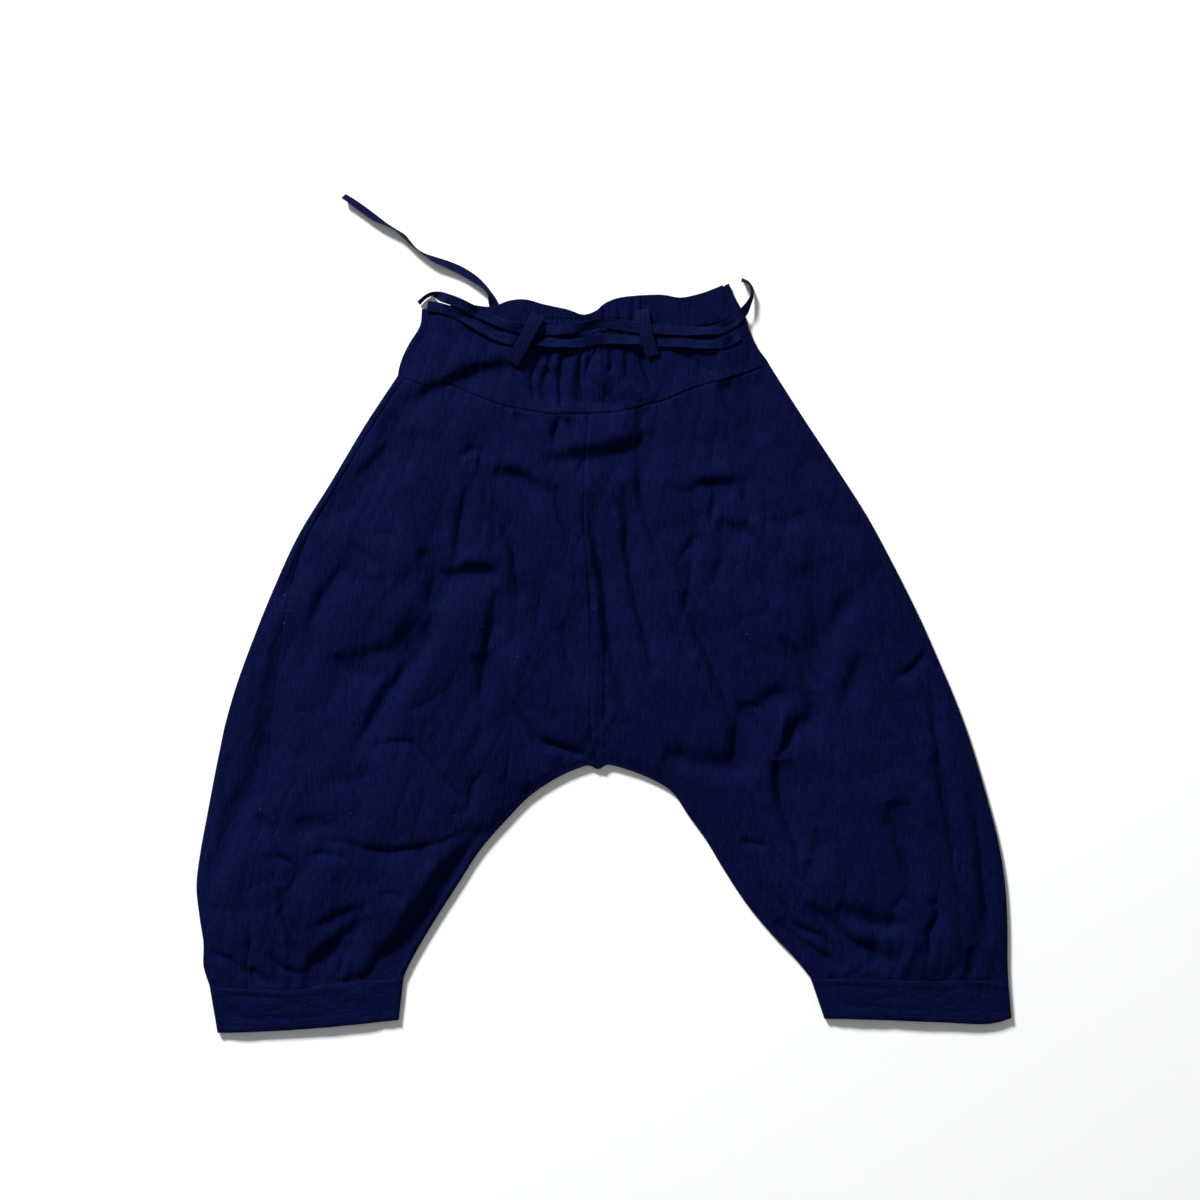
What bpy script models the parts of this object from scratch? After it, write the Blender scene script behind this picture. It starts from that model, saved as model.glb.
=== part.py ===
"""Balloon trousers of thin cotton, laid out flat with the back upwards.

X runs across the garment, +Y up it towards the waist and +Z away from the surface it lies on. The
origin is the middle of the garment's box, on that surface. Left and right are the wearer's, which are
also the viewer's, because the back shows. Tables are in millimetres, one unit to MM metres.

The front panels lie flat and wrap round both outer edges onto the top, as far as the side seams. The
back panels lie over them as a raised, creased wall, between the side seams and the inseams.
"""

import math
from collections import namedtuple

import bmesh
import bpy
import numpy as np

MM = 0.001
CLOTH = 1.5 * MM
SEAM_GAP = 0.3 * MM
EDGE_RADIUS = 3.2 * MM
EDGE_TOP = 2 * EDGE_RADIUS
LOWEST_TOP = 5.4 * MM
STEEPEST_WALL = 1.6
HALF_GAP_TURN = math.asin(SEAM_GAP / 2 / EDGE_RADIUS)

# How the height of the top grows inwards from an edge, and where folds die out near it.
EDGE_RISE = 28 * MM
FOLD_FADE = 14 * MM

NAVY = (0.008, 0.012, 0.055, 1)
NAVY_TAPE = (0.010, 0.014, 0.060, 1)
COTTON_ROUGHNESS = 0.85

# One row a section across a leg panel, from the yoke seam to the cuff seam. The inner end follows the
# centre seam down to the crotch, and the inside of the leg from there.
Section = namedtuple("Section", "outer_x outer_y inner_x inner_y side_seam")
CROTCH_ROW = 7
LEFT_LEG = [
    Section(-206, 237, -15, 200, 8),
    Section(-239, 187, -19, 150, 8),
    Section(-273, 130, -20, 100, 8),
    Section(-305, 78, -16, 45, 10),
    Section(-330, 24, -13, -10, 17),
    Section(-351, -28, -13, -65, 29),
    Section(-367, -72, -13, -112, 39),
    Section(-378, -110, -6, -148, 46),
    Section(-384, -138, -40, -161, 50),
    Section(-390, -168, -72, -181, 54),
    Section(-396, -200, -98, -207, 57),
    Section(-403, -238, -124, -237, 59),
    Section(-407, -272, -146, -271, 58),
    Section(-404, -303, -166, -302, 54),
    Section(-400, -330, -183, -330, 48),
    Section(-400, -352, -193, -348, 44),
    Section(-394, -372, -200, -363, 40),
]
RIGHT_LEG = [
    Section(165, 248, -15, 200, 8),
    Section(197, 198, -19, 150, 8),
    Section(232, 145, -20, 100, 8),
    Section(262, 98, -16, 45, 8),
    Section(288, 50, -13, -10, 9),
    Section(313, 0, -13, -65, 13),
    Section(333, -45, -13, -112, 20),
    Section(350, -85, -6, -148, 28),
    Section(363, -120, 34, -160, 33),
    Section(374, -155, 66, -177, 37),
    Section(384, -190, 84, -202, 41),
    Section(393, -225, 102, -227, 45),
    Section(399, -258, 120, -257, 52),
    Section(402, -290, 142, -290, 42),
    Section(403, -320, 167, -320, 26),
    Section(403, -347, 191, -345, 15),
    Section(404, -370, 206, -364, 12),
]

Point = namedtuple("Point", "x y")
YOKE_SEAM = [
    Point(-206, 237), Point(-177, 226), Point(-159, 229), Point(-129, 217), Point(-99, 206),
    Point(-67, 202), Point(-50, 196), Point(-36, 202), Point(0, 199), Point(28, 203),
    Point(44, 214), Point(61, 212), Point(96, 226), Point(131, 235), Point(165, 248),
]
WAIST_EDGE = [
    Point(-182, 303), Point(-158, 305), Point(-134, 306), Point(-113, 304), Point(-94, 310),
    Point(-78, 311), Point(-59, 306), Point(-36, 301), Point(-21, 296), Point(-8, 300),
    Point(2, 308), Point(21, 314), Point(56, 316), Point(76, 313), Point(96, 317),
    Point(112, 323), Point(125, 329),
]
LEFT_WAIST_SIDE = [
    Point(-206, 237), Point(-202, 255), Point(-194, 273), Point(-184, 288), Point(-182, 303),
]
RIGHT_WAIST_SIDE = [
    Point(165, 248), Point(154, 268), Point(146, 288), Point(141, 303), Point(132, 314),
    Point(125, 329),
]
YOKE_SIDE_SEAM = 8
FRONT_YOKE_DROP = 6 * MM
FRONT_DROP_REACH = 40 * MM

LEFT_CUFF_SEAM = [Point(-394, -372), Point(-317, -374), Point(-267, -368), Point(-200, -363)]
RIGHT_CUFF_SEAM = [
    Point(206, -364), Point(271, -363), Point(312, -365), Point(385, -365), Point(404, -370),
]
LEFT_CUFF_HEM = [Point(-386, -419), Point(-331, -417), Point(-275, -413), Point(-205, -406)]
RIGHT_CUFF_HEM = [
    Point(220, -405), Point(250, -405), Point(335, -408), Point(382, -410), Point(406.8, -404),
]

# How high the middle of the garment stands above its edges, down its length.
Crown = namedtuple("Crown", "y rise")
CROWN = [
    Crown(-420, 1.6), Crown(-385, 2.0), Crown(-366, 3.0), Crown(-350, 7.0), Crown(-325, 11.0),
    Crown(-280, 12.0), Crown(-200, 10.5), Crown(-120, 9.0), Crown(-20, 8.0), Crown(80, 7.0),
    Crown(160, 6.0), Crown(220, 4.5), Crown(270, 3.2), Crown(330, 2.0),
]

# The largest creases. A fold runs from its start, by way of its middle, to its end. Its two reaches are
# the widths of its slopes, to the left and the right of that direction.
Fold = namedtuple("Fold", "start_x start_y mid_x mid_y end_x end_y height reach_left reach_right")
FOLDS = [
    Fold(-60, 248, -150, 236, -250, 132, 4.0, 9, 15),
    Fold(-64, 240, -150, 222, -262, 108, -4.0, 15, 8),
    Fold(-116, 146, -88, 124, -44, 124, -4.5, 8, 13),
    Fold(-60, 132, 10, 148, 72, 194, -5.0, 7, 13),
    Fold(-40, 150, 10, 168, 60, 214, 3.5, 14, 8),
    Fold(-152, 35, -130, 32, -106, 37, -5.5, 8, 10),
    Fold(-160, 10, -205, -60, -250, -160, 4.0, 12, 24),
    Fold(-134, 130, -144, 90, -150, 44, 3.0, 9, 7),
    Fold(-110, 12, -117, -50, -124, -98, -3.0, 7, 8),
    Fold(-116, -82, -96, -122, -54, -156, -5.0, 10, 9),
    Fold(-98, -76, -72, -118, -28, -140, 4.0, 10, 9),
    Fold(112, -44, 140, -100, 172, -140, -6.0, 14, 17),
    Fold(174, -138, 186, -102, 212, -76, 5.0, 12, 10),
    Fold(60, -136, 106, -147, 156, -150, -5.0, 8, 9),
    Fold(93, 80, 94, 26, 108, -28, -3.5, 7, 9),
    Fold(90, 78, 130, 88, 164, 60, -4.5, 8, 11),
    Fold(72, 120, 106, 128, 142, 140, -4.0, 8, 10),
    Fold(20, 112, 38, 0, 52, -72, -3.0, 7, 8),
    Fold(166, -16, 188, -53, 194, -90, -3.5, 8, 8),
    Fold(-246, -230, -205, -242, -168, -244, -4.0, 9, 8),
    Fold(-242, -308, -272, -330, -308, -360, -5.0, 10, 10),
    Fold(157, -272, 205, -314, 270, -352, -4.0, 8, 8),
    Fold(206, -290, 246, -318, 296, -346, -4.5, 9, 8),
    Fold(54, 257, 78, 252, 104, 238, -3.0, 8, 9),
    Fold(116, 229, 130, 200, 156, 180, -3.5, 9, 12),
    Fold(37, 244, 39, 205, 42, 150, -3.0, 6, 7),
    Fold(-118, -222, -160, -282, -222, -356, -6.0, 15, 9),
    Fold(-310, 30, -334, -70, -344, -220, 2.5, 10, 12),
]
FOLD_STEPS = 10

# The elastic at the middle of the waist, and the gathers that hang from it.
GATHER_LEFT = -76
GATHER_RIGHT = 46
GATHER_MIDDLE_X = -14
GATHER_WAVE = 9.6
GATHER_HEIGHT = 1.5
ELASTIC_TOP = 292
ELASTIC_BOTTOM = 266
GATHER_FAN = 0.0042

# The gathers where a leg is sewn into its cuff.
CUFF_WAVE = 24
CUFF_GATHER_HEIGHT = 2.4
CUFF_GATHER_LENGTH = 46

# The tongue of the seam allowances that sticks out at the crotch.
TONGUE_X = -6
TONGUE_Y = -148
TONGUE_WIDTH = 7
TONGUE_LENGTH = 7
TONGUE_FADE = 18

TIE_WIDTH = 10 * MM
TIE_THICKNESS = 1.0 * MM
LOOP_WIDTH = 12.5 * MM
LOOP_THICKNESS = 1.2 * MM
LIFT = 0.5 * MM

# The tie's middle line where it lies on the yoke, both rows of it, from left to right.
LOWER_TIE = [
    Point(-176, 306), Point(-164, 304), Point(-149, 299), Point(-134, 291), Point(-119, 282),
    Point(-104, 275), Point(-92, 271.5), Point(-74, 270), Point(-54, 269), Point(-34, 268),
    Point(-16, 270), Point(0, 272.5), Point(16, 272), Point(34, 271), Point(52, 270),
    Point(70, 269.5), Point(90, 268), Point(108, 267.5), Point(124, 270), Point(134, 277),
]
UPPER_TIE = [
    Point(-158, 313), Point(-148, 309.5), Point(-138, 305), Point(-124, 298), Point(-104, 289.5),
    Point(-90, 284.5), Point(-74, 282), Point(-54, 281.5), Point(-36, 282.5), Point(-18, 285.5),
    Point(-2, 288.5), Point(14, 286.5), Point(34, 283.5), Point(52, 282.5), Point(70, 281),
    Point(90, 280.5), Point(108, 281.5), Point(122, 285), Point(132, 292),
]

# Where the tie leaves the garment. Each row is its middle line, the height of its lowest edge and how
# far it leans over, from 0 where it lies flat to 90 where it stands on its edge.
Bend = namedtuple("Bend", "x y lowest lean")
LEFT_BEND = [
    Bend(-169, 319, 0.4, 74), Bend(-177, 316, 0.4, 80), Bend(-185, 309, 0.4, 76),
]
RIGHT_BEND = [
    Bend(138.5, 299, 6.8, 18), Bend(143.5, 307, 4.5, 55), Bend(147.5, 316, 1.0, 70),
    Bend(147.5, 324, 0.4, 72), Bend(143, 330.5, 0.4, 70), Bend(135, 332.5, 0.5, 55),
]
LOOSE_END = [
    Bend(-107, 296, 2.2, 0), Bend(-109, 303, 2.2, 4), Bend(-111, 311, 1.9, 30),
    Bend(-114, 319, 0.3, 66), Bend(-120, 326, 0.3, 60), Bend(-130, 334, 0.3, 40),
    Bend(-142, 341.5, 0.3, 34), Bend(-155, 347.5, 0.3, 40), Bend(-168, 352.5, 0.3, 52),
    Bend(-180, 358.5, 0.3, 78), Bend(-188, 364, 0.3, 84), Bend(-194, 370, 0.3, 76),
    Bend(-200, 376.5, 0.3, 70), Bend(-208, 382.5, 0.3, 80), Bend(-217, 387.5, 0.3, 72),
    Bend(-228, 394, 0.3, 50), Bend(-240, 402.5, 0.3, 44), Bend(-251, 410.5, 0.3, 48),
    Bend(-260, 416.1, 0.3, 52),
]

# Belt loops, each from its top to its foot.
LEFT_LOOP = [Point(-65, 297), Point(-77, 273), Point(-91, 249)]
RIGHT_LOOP = [Point(37, 302), Point(42, 278), Point(48, 256)]

LEG_COLUMNS = 22
LEG_ROWS_ABOVE_PUFF = 20
LEG_ROWS_IN_PUFF = 8
PUFF_ROW = 12.5
YOKE_ROWS = 9
YOKE_STEP = 2.9 * MM
FRONT_COLUMNS = 5
ARC_STEPS = 4
CUFF_ROWS = 4


def between_rows(values, row):
    """A smooth curve through a table's column, read at row numbers that may lie between its rows."""
    values = np.asarray(values, float)
    row = np.clip(np.asarray(row, float), 0, len(values) - 1)
    first = np.minimum(row.astype(int), len(values) - 2)
    t = row - first
    before = values[np.maximum(first - 1, 0)]
    start = values[first]
    end = values[first + 1]
    after = values[np.minimum(first + 2, len(values) - 1)]
    cubic = 3 * (start - end) + after - before
    square = 2 * before - 5 * start + 4 * end - after
    return start + 0.5 * t * ((end - before) + t * (square + t * cubic))


def column(table, name):
    """One named column of a table, in metres."""
    return np.array([getattr(row, name) for row in table]) * MM


def smoothstep(t):
    t = np.clip(t, 0, 1)
    return t * t * (3 - 2 * t)


def edge_points(table, steps_a_row=4):
    """A table of points as a smooth line of many, in metres."""
    rows = np.linspace(0, len(table) - 1, (len(table) - 1) * steps_a_row + 1)
    return np.stack(
        [between_rows(column(table, "x"), rows), between_rows(column(table, "y"), rows)], axis=1
    )


def outer_end(leg, row):
    """Where a leg's sections meet its outer edge."""
    return np.stack(
        [between_rows(column(leg, "outer_x"), row), between_rows(column(leg, "outer_y"), row)], axis=-1
    )


def inner_end(leg, row):
    """Where they meet the centre seam or, below the crotch, the inside of the leg."""
    row = np.asarray(row, float)
    found = []
    for name in ("inner_x", "inner_y"):
        values = column(leg, name)
        above = between_rows(values[: CROTCH_ROW + 1], row)
        below = between_rows(values[CROTCH_ROW:], row - CROTCH_ROW)
        found.append(np.where(row <= CROTCH_ROW, above, below))
    return np.stack(found, axis=-1)


def side_lines():
    """Every line that the garment's sides follow, without the waist and the cuffs' open ends."""
    rows = np.linspace(0, len(LEFT_LEG) - 1, 49)
    below = np.linspace(CROTCH_ROW, len(LEFT_LEG) - 1, 28)
    lines = [edge_points(LEFT_WAIST_SIDE), edge_points(RIGHT_WAIST_SIDE)]
    for leg, seam, hem in (
        (LEFT_LEG, LEFT_CUFF_SEAM, LEFT_CUFF_HEM),
        (RIGHT_LEG, RIGHT_CUFF_SEAM, RIGHT_CUFF_HEM),
    ):
        lines += [outer_end(leg, rows), inner_end(leg, below)]
        for end in (0, -1):
            lines.append(np.array([[seam[end].x, seam[end].y], [hem[end].x, hem[end].y]]) * MM)
    return lines


def nearest_on_lines(x, y, lines):
    """The distance from each point to the nearest of several lines."""
    starts = np.concatenate([line[:-1] for line in lines])
    ends = np.concatenate([line[1:] for line in lines])
    along = ends - starts
    squares = np.maximum((along**2).sum(axis=1), 1e-18)
    points = np.stack([x.ravel(), y.ravel()], axis=1)
    away = points[:, None, :] - starts[None]
    t = np.clip((away * along[None]).sum(axis=2) / squares[None], 0, 1)
    gap = away - t[..., None] * along[None]
    return np.sqrt((gap**2).sum(axis=2).min(axis=1)).reshape(x.shape)


def fold_height(x, y, fold):
    """One crease: highest along its own line, and dying out at its ends and to both sides."""
    t = np.linspace(0, 1, FOLD_STEPS + 1)
    line = np.stack(
        [
            (1 - t) ** 2 * start + 2 * t * (1 - t) * middle + t**2 * end
            for start, middle, end in (
                (fold.start_x, fold.mid_x, fold.end_x),
                (fold.start_y, fold.mid_y, fold.end_y),
            )
        ],
        axis=1,
    )
    line *= MM
    best = np.full(x.shape, np.inf)
    side = np.zeros(x.shape)
    place = np.zeros(x.shape)
    for step in range(FOLD_STEPS):
        ax, ay = line[step]
        bx, by = line[step + 1] - line[step]
        share = np.clip(((x - ax) * bx + (y - ay) * by) / (bx**2 + by**2), 0, 1)
        dx = x - ax - share * bx
        dy = y - ay - share * by
        distance = np.hypot(dx, dy)
        nearer = distance < best
        best = np.where(nearer, distance, best)
        side = np.where(nearer, bx * dy - by * dx, side)
        place = np.where(nearer, (step + share) / FOLD_STEPS, place)
    reach = np.where(side > 0, fold.reach_left, fold.reach_right) * MM
    taper = np.sqrt(np.clip(4 * place * (1 - place), 0, 1))
    return fold.height * MM * taper * np.exp(-((best / reach) ** 2))


def waist_gathers(x, y):
    """The ruched elastic and the small folds that spread downwards from it."""
    drop = np.maximum(ELASTIC_BOTTOM - y / MM, 0)
    spread = GATHER_MIDDLE_X + (x / MM - GATHER_MIDDLE_X) / (1 + GATHER_FAN * drop)
    inside = smoothstep((spread - GATHER_LEFT) / 14) * smoothstep((GATHER_RIGHT - spread) / 14)
    phase = 2 * math.pi * spread / GATHER_WAVE
    wave = np.cos(phase + 0.9 * np.sin(phase * 0.31) + 0.5 * np.sin(phase * 0.17 + 1))
    below = smoothstep((ELASTIC_TOP + 12 - y / MM) / 14) * np.exp(-((drop / 46) ** 2))
    return GATHER_HEIGHT * MM * inside * below * wave


def cuff_line(x, table):
    """The height up the garment of a cuff's seam, at each point across it."""
    points = edge_points(table)
    order = np.argsort(points[:, 0])
    return np.interp(x, points[order, 0], points[order, 1])


def cuff_gathers(x, y):
    """The small folds that rise from a cuff's seam and spread out as they go."""
    left = x < 0
    seam = np.where(left, cuff_line(x, LEFT_CUFF_SEAM), cuff_line(x, RIGHT_CUFF_SEAM))
    middle = np.where(left, -297, 305) * MM
    above = np.maximum(y - seam, 0) / MM
    spread = (x - middle) / (1 + 0.0035 * above) / MM
    phase = 2 * math.pi * spread / CUFF_WAVE
    wave = np.cos(phase + 0.8 * np.sin(phase * 0.37 + 2) + np.where(left, 0.4, 1.7))
    fade = np.exp(-((above / CUFF_GATHER_LENGTH) ** 1.5)) * smoothstep((y - seam) / (7 * MM) + 0.25)
    return CUFF_GATHER_HEIGHT * MM * fade * wave


SIDES = side_lines()


def top_height(x, y):
    """The height of the garment's top at points of its plan."""
    inwards = np.maximum(nearest_on_lines(x, y, SIDES) - EDGE_RADIUS, 0)
    heights = np.interp(y, column(CROWN, "y"), column(CROWN, "rise"))
    rise = heights * (1 - np.exp(-inwards / EDGE_RISE))
    folds = sum(fold_height(x, y, fold) for fold in FOLDS)
    folds = folds + waist_gathers(x, y) + cuff_gathers(x, y)
    total = EDGE_TOP + rise + folds * smoothstep(inwards / FOLD_FADE)
    shallow = LOWEST_TOP + 1.6 * MM
    sunk = np.maximum(shallow - total, 0)
    return np.where(
        total < shallow, shallow - (shallow - LOWEST_TOP) * np.tanh(sunk / (shallow - LOWEST_TOP)), total
    )


def wall_depth(x, y):
    """How far below the top its underside lies, so that a slope is as thick as a flat stretch."""
    step = 1.0 * MM
    slope_x = (top_height(x + step, y) - top_height(x - step, y)) / (2 * step)
    slope_y = (top_height(x, y + step) - top_height(x, y - step)) / (2 * step)
    return CLOTH * np.minimum(np.sqrt(1 + slope_x**2 + slope_y**2), STEEPEST_WALL)


def with_tongue(x, y):
    """The plan with the crotch's seam allowances pulled out into a short tongue."""
    across = np.exp(-(((x / MM - TONGUE_X) / TONGUE_WIDTH) ** 2))
    down = np.exp(-(((y / MM - TONGUE_Y) / TONGUE_FADE) ** 2))
    return y - TONGUE_LENGTH * MM * across * down


def make_wall(name, outside, inside, material, closed_across=False):
    """A wall between two grids of points, joined along its rims. The grids run rows by columns."""
    rows, columns = outside.shape[:2]
    mesh = bmesh.new()
    grids = [
        [[mesh.verts.new(point) for point in row] for row in grid] for grid in (outside, inside)
    ]
    spans = columns if closed_across else columns - 1
    for row in range(rows - 1):
        for start in range(spans):
            end = (start + 1) % columns
            corners = ((row, start), (row, end), (row + 1, end), (row + 1, start))
            mesh.faces.new([grids[0][r][c] for r, c in corners])
            mesh.faces.new([grids[1][r][c] for r, c in reversed(corners)])
    for start in range(spans):
        end = (start + 1) % columns
        for row in (0, rows - 1):
            mesh.faces.new(
                [grids[0][row][start], grids[0][row][end], grids[1][row][end], grids[1][row][start]]
            )
    if not closed_across:
        for row in range(rows - 1):
            for side in (0, columns - 1):
                mesh.faces.new(
                    [grids[0][row][side], grids[0][row + 1][side], grids[1][row + 1][side], grids[1][row][side]]
                )
    bmesh.ops.triangulate(mesh, faces=mesh.faces[:])
    bmesh.ops.recalc_face_normals(mesh, faces=mesh.faces[:])
    data = bpy.data.meshes.new(name)
    mesh.to_mesh(data)
    mesh.free()
    data.shade_smooth()
    data.set_sharp_from_angle(angle=math.radians(50))
    made = bpy.data.objects.new(name, data)
    made.data.materials.append(material)
    bpy.context.scene.collection.objects.link(made)
    return made


def leg_plan(leg, row, inset):
    """Points of a leg's plan, inset from its outer edge along the section at a row number."""
    outer = outer_end(leg, row)
    inner = inner_end(leg, row)
    length = np.linalg.norm(inner - outer, axis=-1)
    place = outer + (inner - outer) * (inset / length)[..., None]
    x = place[..., 0]
    y = place[..., 1]
    left = leg is LEFT_LEG
    last = len(leg) - 1
    yoke = np.interp(x, column(YOKE_SEAM, "x"), column(YOKE_SEAM, "y"))
    straight = np.interp(x, *straight_section(leg, 0))
    y = y + (yoke - straight) * np.clip(1 - row / 4, 0, 1) ** 2
    cuff = cuff_line(x, LEFT_CUFF_SEAM if left else RIGHT_CUFF_SEAM)
    straight = np.interp(x, *straight_section(leg, last))
    y = y + (cuff - straight) * np.clip(1 - (last - row) / 3, 0, 1) ** 2
    return x, with_tongue(x, y)


def straight_section(leg, row):
    """The x and y of a table row's two ends, from left to right."""
    ends = sorted([(leg[row].outer_x, leg[row].outer_y), (leg[row].inner_x, leg[row].inner_y)])
    return [ends[0][0] * MM, ends[1][0] * MM], [ends[0][1] * MM, ends[1][1] * MM]


def leg_rows():
    """Row numbers down a leg, closer together where it is gathered into its cuff."""
    last = len(LEFT_LEG) - 1
    above = np.linspace(0, PUFF_ROW, LEG_ROWS_ABOVE_PUFF)
    puff = np.linspace(PUFF_ROW, last, LEG_ROWS_IN_PUFF + 1)[1:]
    rows = np.concatenate([above, puff])
    near = np.abs(rows - CROTCH_ROW).argmin()
    rows[near] = CROTCH_ROW
    return np.sort(np.append(rows, CROTCH_ROW - 0.2))


def turned_share(row):
    """0 where a leg's inner end is at the centre seam, and 1 where it is the rounded inside edge."""
    return np.clip((row - (CROTCH_ROW - 0.2)) / 0.2, 0, 1)


def seam_shrink(rows, y):
    """Moves a panel's first and last rows half a gap away from the seams there."""
    y = y.copy()
    y[0] -= SEAM_GAP / 2
    y[-1] += SEAM_GAP / 2
    return y


def back_insets(side, length):
    """The insets of a back leg panel's columns, up to where its inner edge turns down."""
    return [side + (length - EDGE_RADIUS - side) * share for share in np.linspace(0, 1, LEG_COLUMNS)]


def front_insets(length):
    """The insets of the columns on the surface of a front leg panel."""
    return [
        length - EDGE_RADIUS + (2 * EDGE_RADIUS - length) * share
        for share in np.linspace(0, 1, FRONT_COLUMNS)
    ]


def back_leg(name, leg, material):
    """A back leg panel, from its side seam to the centre seam and the inseam."""
    rows = leg_rows()
    outer = outer_end(leg, rows)
    inner = inner_end(leg, rows)
    length = np.linalg.norm(inner - outer, axis=-1)
    side = between_rows(column(leg, "side_seam"), rows) + SEAM_GAP / 2
    turned = turned_share(rows)
    turns = np.linspace(math.pi / 2, HALF_GAP_TURN, 4)
    outside = []
    inside = []
    for inset in back_insets(side, length):
        x, y = leg_plan(leg, rows, inset)
        y = seam_shrink(rows, y)
        top = top_height(x, y)
        outside.append(np.stack([x, y, top], axis=-1))
        inside.append(np.stack([x, y, top - wall_depth(x, y)], axis=-1))
    for step, turn in enumerate(turns[1:], start=1):
        flat_inset = length - EDGE_RADIUS + (EDGE_RADIUS - SEAM_GAP / 2) * step / 3
        for side_points, radius in ((outside, EDGE_RADIUS), (inside, EDGE_RADIUS - CLOTH)):
            turned_inset = length - EDGE_RADIUS + radius * math.cos(turn)
            x, y = leg_plan(leg, rows, flat_inset + (turned_inset - flat_inset) * turned)
            y = seam_shrink(rows, y)
            level = top_height(x, y)
            if side_points is inside:
                level = level - wall_depth(x, y)
            rounded = EDGE_RADIUS + radius * math.sin(turn)
            side_points.append(np.stack([x, y, level + (rounded - level) * turned], axis=-1))
    return make_wall(name, np.stack(outside, axis=1), np.stack(inside, axis=1), material)


def front_leg(name, leg, material):
    """A front leg panel: flat on the surface, round the outer edge, and over it to the side seam."""
    rows = leg_rows()
    outer = outer_end(leg, rows)
    inner = inner_end(leg, rows)
    length = np.linalg.norm(inner - outer, axis=-1)
    side = between_rows(column(leg, "side_seam"), rows) - SEAM_GAP / 2
    turned = turned_share(rows)
    outside = []
    inside = []

    def add(points, inset, height):
        x, y = leg_plan(leg, rows, inset)
        y = seam_shrink(rows, y)
        points.append(np.stack([x, y, np.broadcast_to(height, x.shape)], axis=-1))

    for step, turn in enumerate(np.linspace(-HALF_GAP_TURN, -math.pi / 2, 4)[:-1]):
        flat_inset = length - SEAM_GAP / 2 - (EDGE_RADIUS - SEAM_GAP / 2) * step / 3
        for points, radius, flat in ((outside, EDGE_RADIUS, 0), (inside, EDGE_RADIUS - CLOTH, CLOTH)):
            turned_inset = length - EDGE_RADIUS + radius * math.cos(turn)
            height = flat + (EDGE_RADIUS + radius * math.sin(turn) - flat) * turned
            add(points, flat_inset + (turned_inset - flat_inset) * turned, height)
    for inset in front_insets(length):
        add(outside, inset, 0.0)
        add(inside, inset, CLOTH)
    for turn in np.linspace(-math.pi / 2, math.pi / 2, ARC_STEPS + 1)[1:]:
        for points, radius in ((outside, EDGE_RADIUS), (inside, EDGE_RADIUS - CLOTH)):
            inset = np.full_like(length, EDGE_RADIUS - radius * math.cos(turn))
            add(points, inset, EDGE_RADIUS + radius * math.sin(turn))
    for share in (0.5, 1.0):
        x, y = leg_plan(leg, rows, EDGE_RADIUS + (side - EDGE_RADIUS) * share)
        y = seam_shrink(rows, y)
        top = top_height(x, y)
        outside.append(np.stack([x, y, top], axis=-1))
        inside.append(np.stack([x, y, top - wall_depth(x, y)], axis=-1))
    return make_wall(name, np.stack(outside, axis=1), np.stack(inside, axis=1), material)


def yoke_seam_line(front):
    """The plan of the leg panels' upper edges at their own columns, which the yoke's edge follows."""
    lines = []
    for leg in (LEFT_LEG, RIGHT_LEG):
        length = math.dist((leg[0].outer_x, leg[0].outer_y), (leg[0].inner_x, leg[0].inner_y)) * MM
        if front:
            insets = sorted([0, *front_insets(length), length])
        else:
            insets = [0, *back_insets(leg[0].side_seam * MM + SEAM_GAP / 2, length), length]
        x, y = leg_plan(leg, np.zeros(len(insets)), np.array(insets))
        lines.append(np.stack([x, y], axis=1))
    return np.concatenate([lines[0], lines[1][::-1][1:]])


def yoke_columns(low_line):
    """Places across the back yoke: those of the legs' columns, and more between them at the elastic."""
    left = (LEFT_WAIST_SIDE[0].x + YOKE_SIDE_SEAM) * MM + SEAM_GAP / 2
    right = (RIGHT_WAIST_SIDE[0].x - YOKE_SIDE_SEAM) * MM - SEAM_GAP / 2
    places = [x for x in low_line[:, 0] if left + MM < x < right - MM]
    columns = []
    for start, end in zip([left, *places], [*places, right], strict=True):
        ruched = end > (GATHER_LEFT - 4) * MM and start < (GATHER_RIGHT + 4) * MM
        steps = math.ceil((end - start) / YOKE_STEP) if ruched else 1
        columns += [start + (end - start) * step / steps for step in range(steps)]
    return np.array([*columns, right])


def yoke_plan(columns, up, low_line, drop):
    """Points of the yoke's plan. Columns keep their share of the width between its two sides."""
    first = LEFT_WAIST_SIDE[0].x * MM
    width = RIGHT_WAIST_SIDE[0].x * MM - first
    share = (columns - first) / width
    top = edge_points(WAIST_EDGE)
    low_y = np.interp(columns, low_line[:, 0], low_line[:, 1]) + SEAM_GAP / 2
    top_x = top[0, 0] + share * (top[-1, 0] - top[0, 0])
    top_y = np.interp(top_x, top[:, 0], top[:, 1]) - drop
    left = between_rows(column(LEFT_WAIST_SIDE, "x"), up * (len(LEFT_WAIST_SIDE) - 1))
    right = between_rows(column(RIGHT_WAIST_SIDE, "x"), up * (len(RIGHT_WAIST_SIDE) - 1))
    straight_left = first + (top[0, 0] - first) * up
    straight_right = first + width + (top[-1, 0] - first - width) * up
    x = columns + (top_x - columns) * up
    x = x + (left - straight_left) * (1 - share) ** 2 + (right - straight_right) * share**2
    return x, low_y + (top_y - low_y) * up


def back_yoke(name, low_line, material):
    """The back yoke with its turned-down top, ruched over the elastic at the middle."""
    columns = yoke_columns(low_line)
    outside = []
    inside = []
    for up in np.linspace(0, 1, YOKE_ROWS):
        x, y = yoke_plan(columns, up, low_line, 0)
        top = top_height(x, y)
        outside.append(np.stack([x, y, top], axis=-1))
        inside.append(np.stack([x, y, top - wall_depth(x, y)], axis=-1))
    return make_wall(name, np.stack(outside), np.stack(inside), material)


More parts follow.
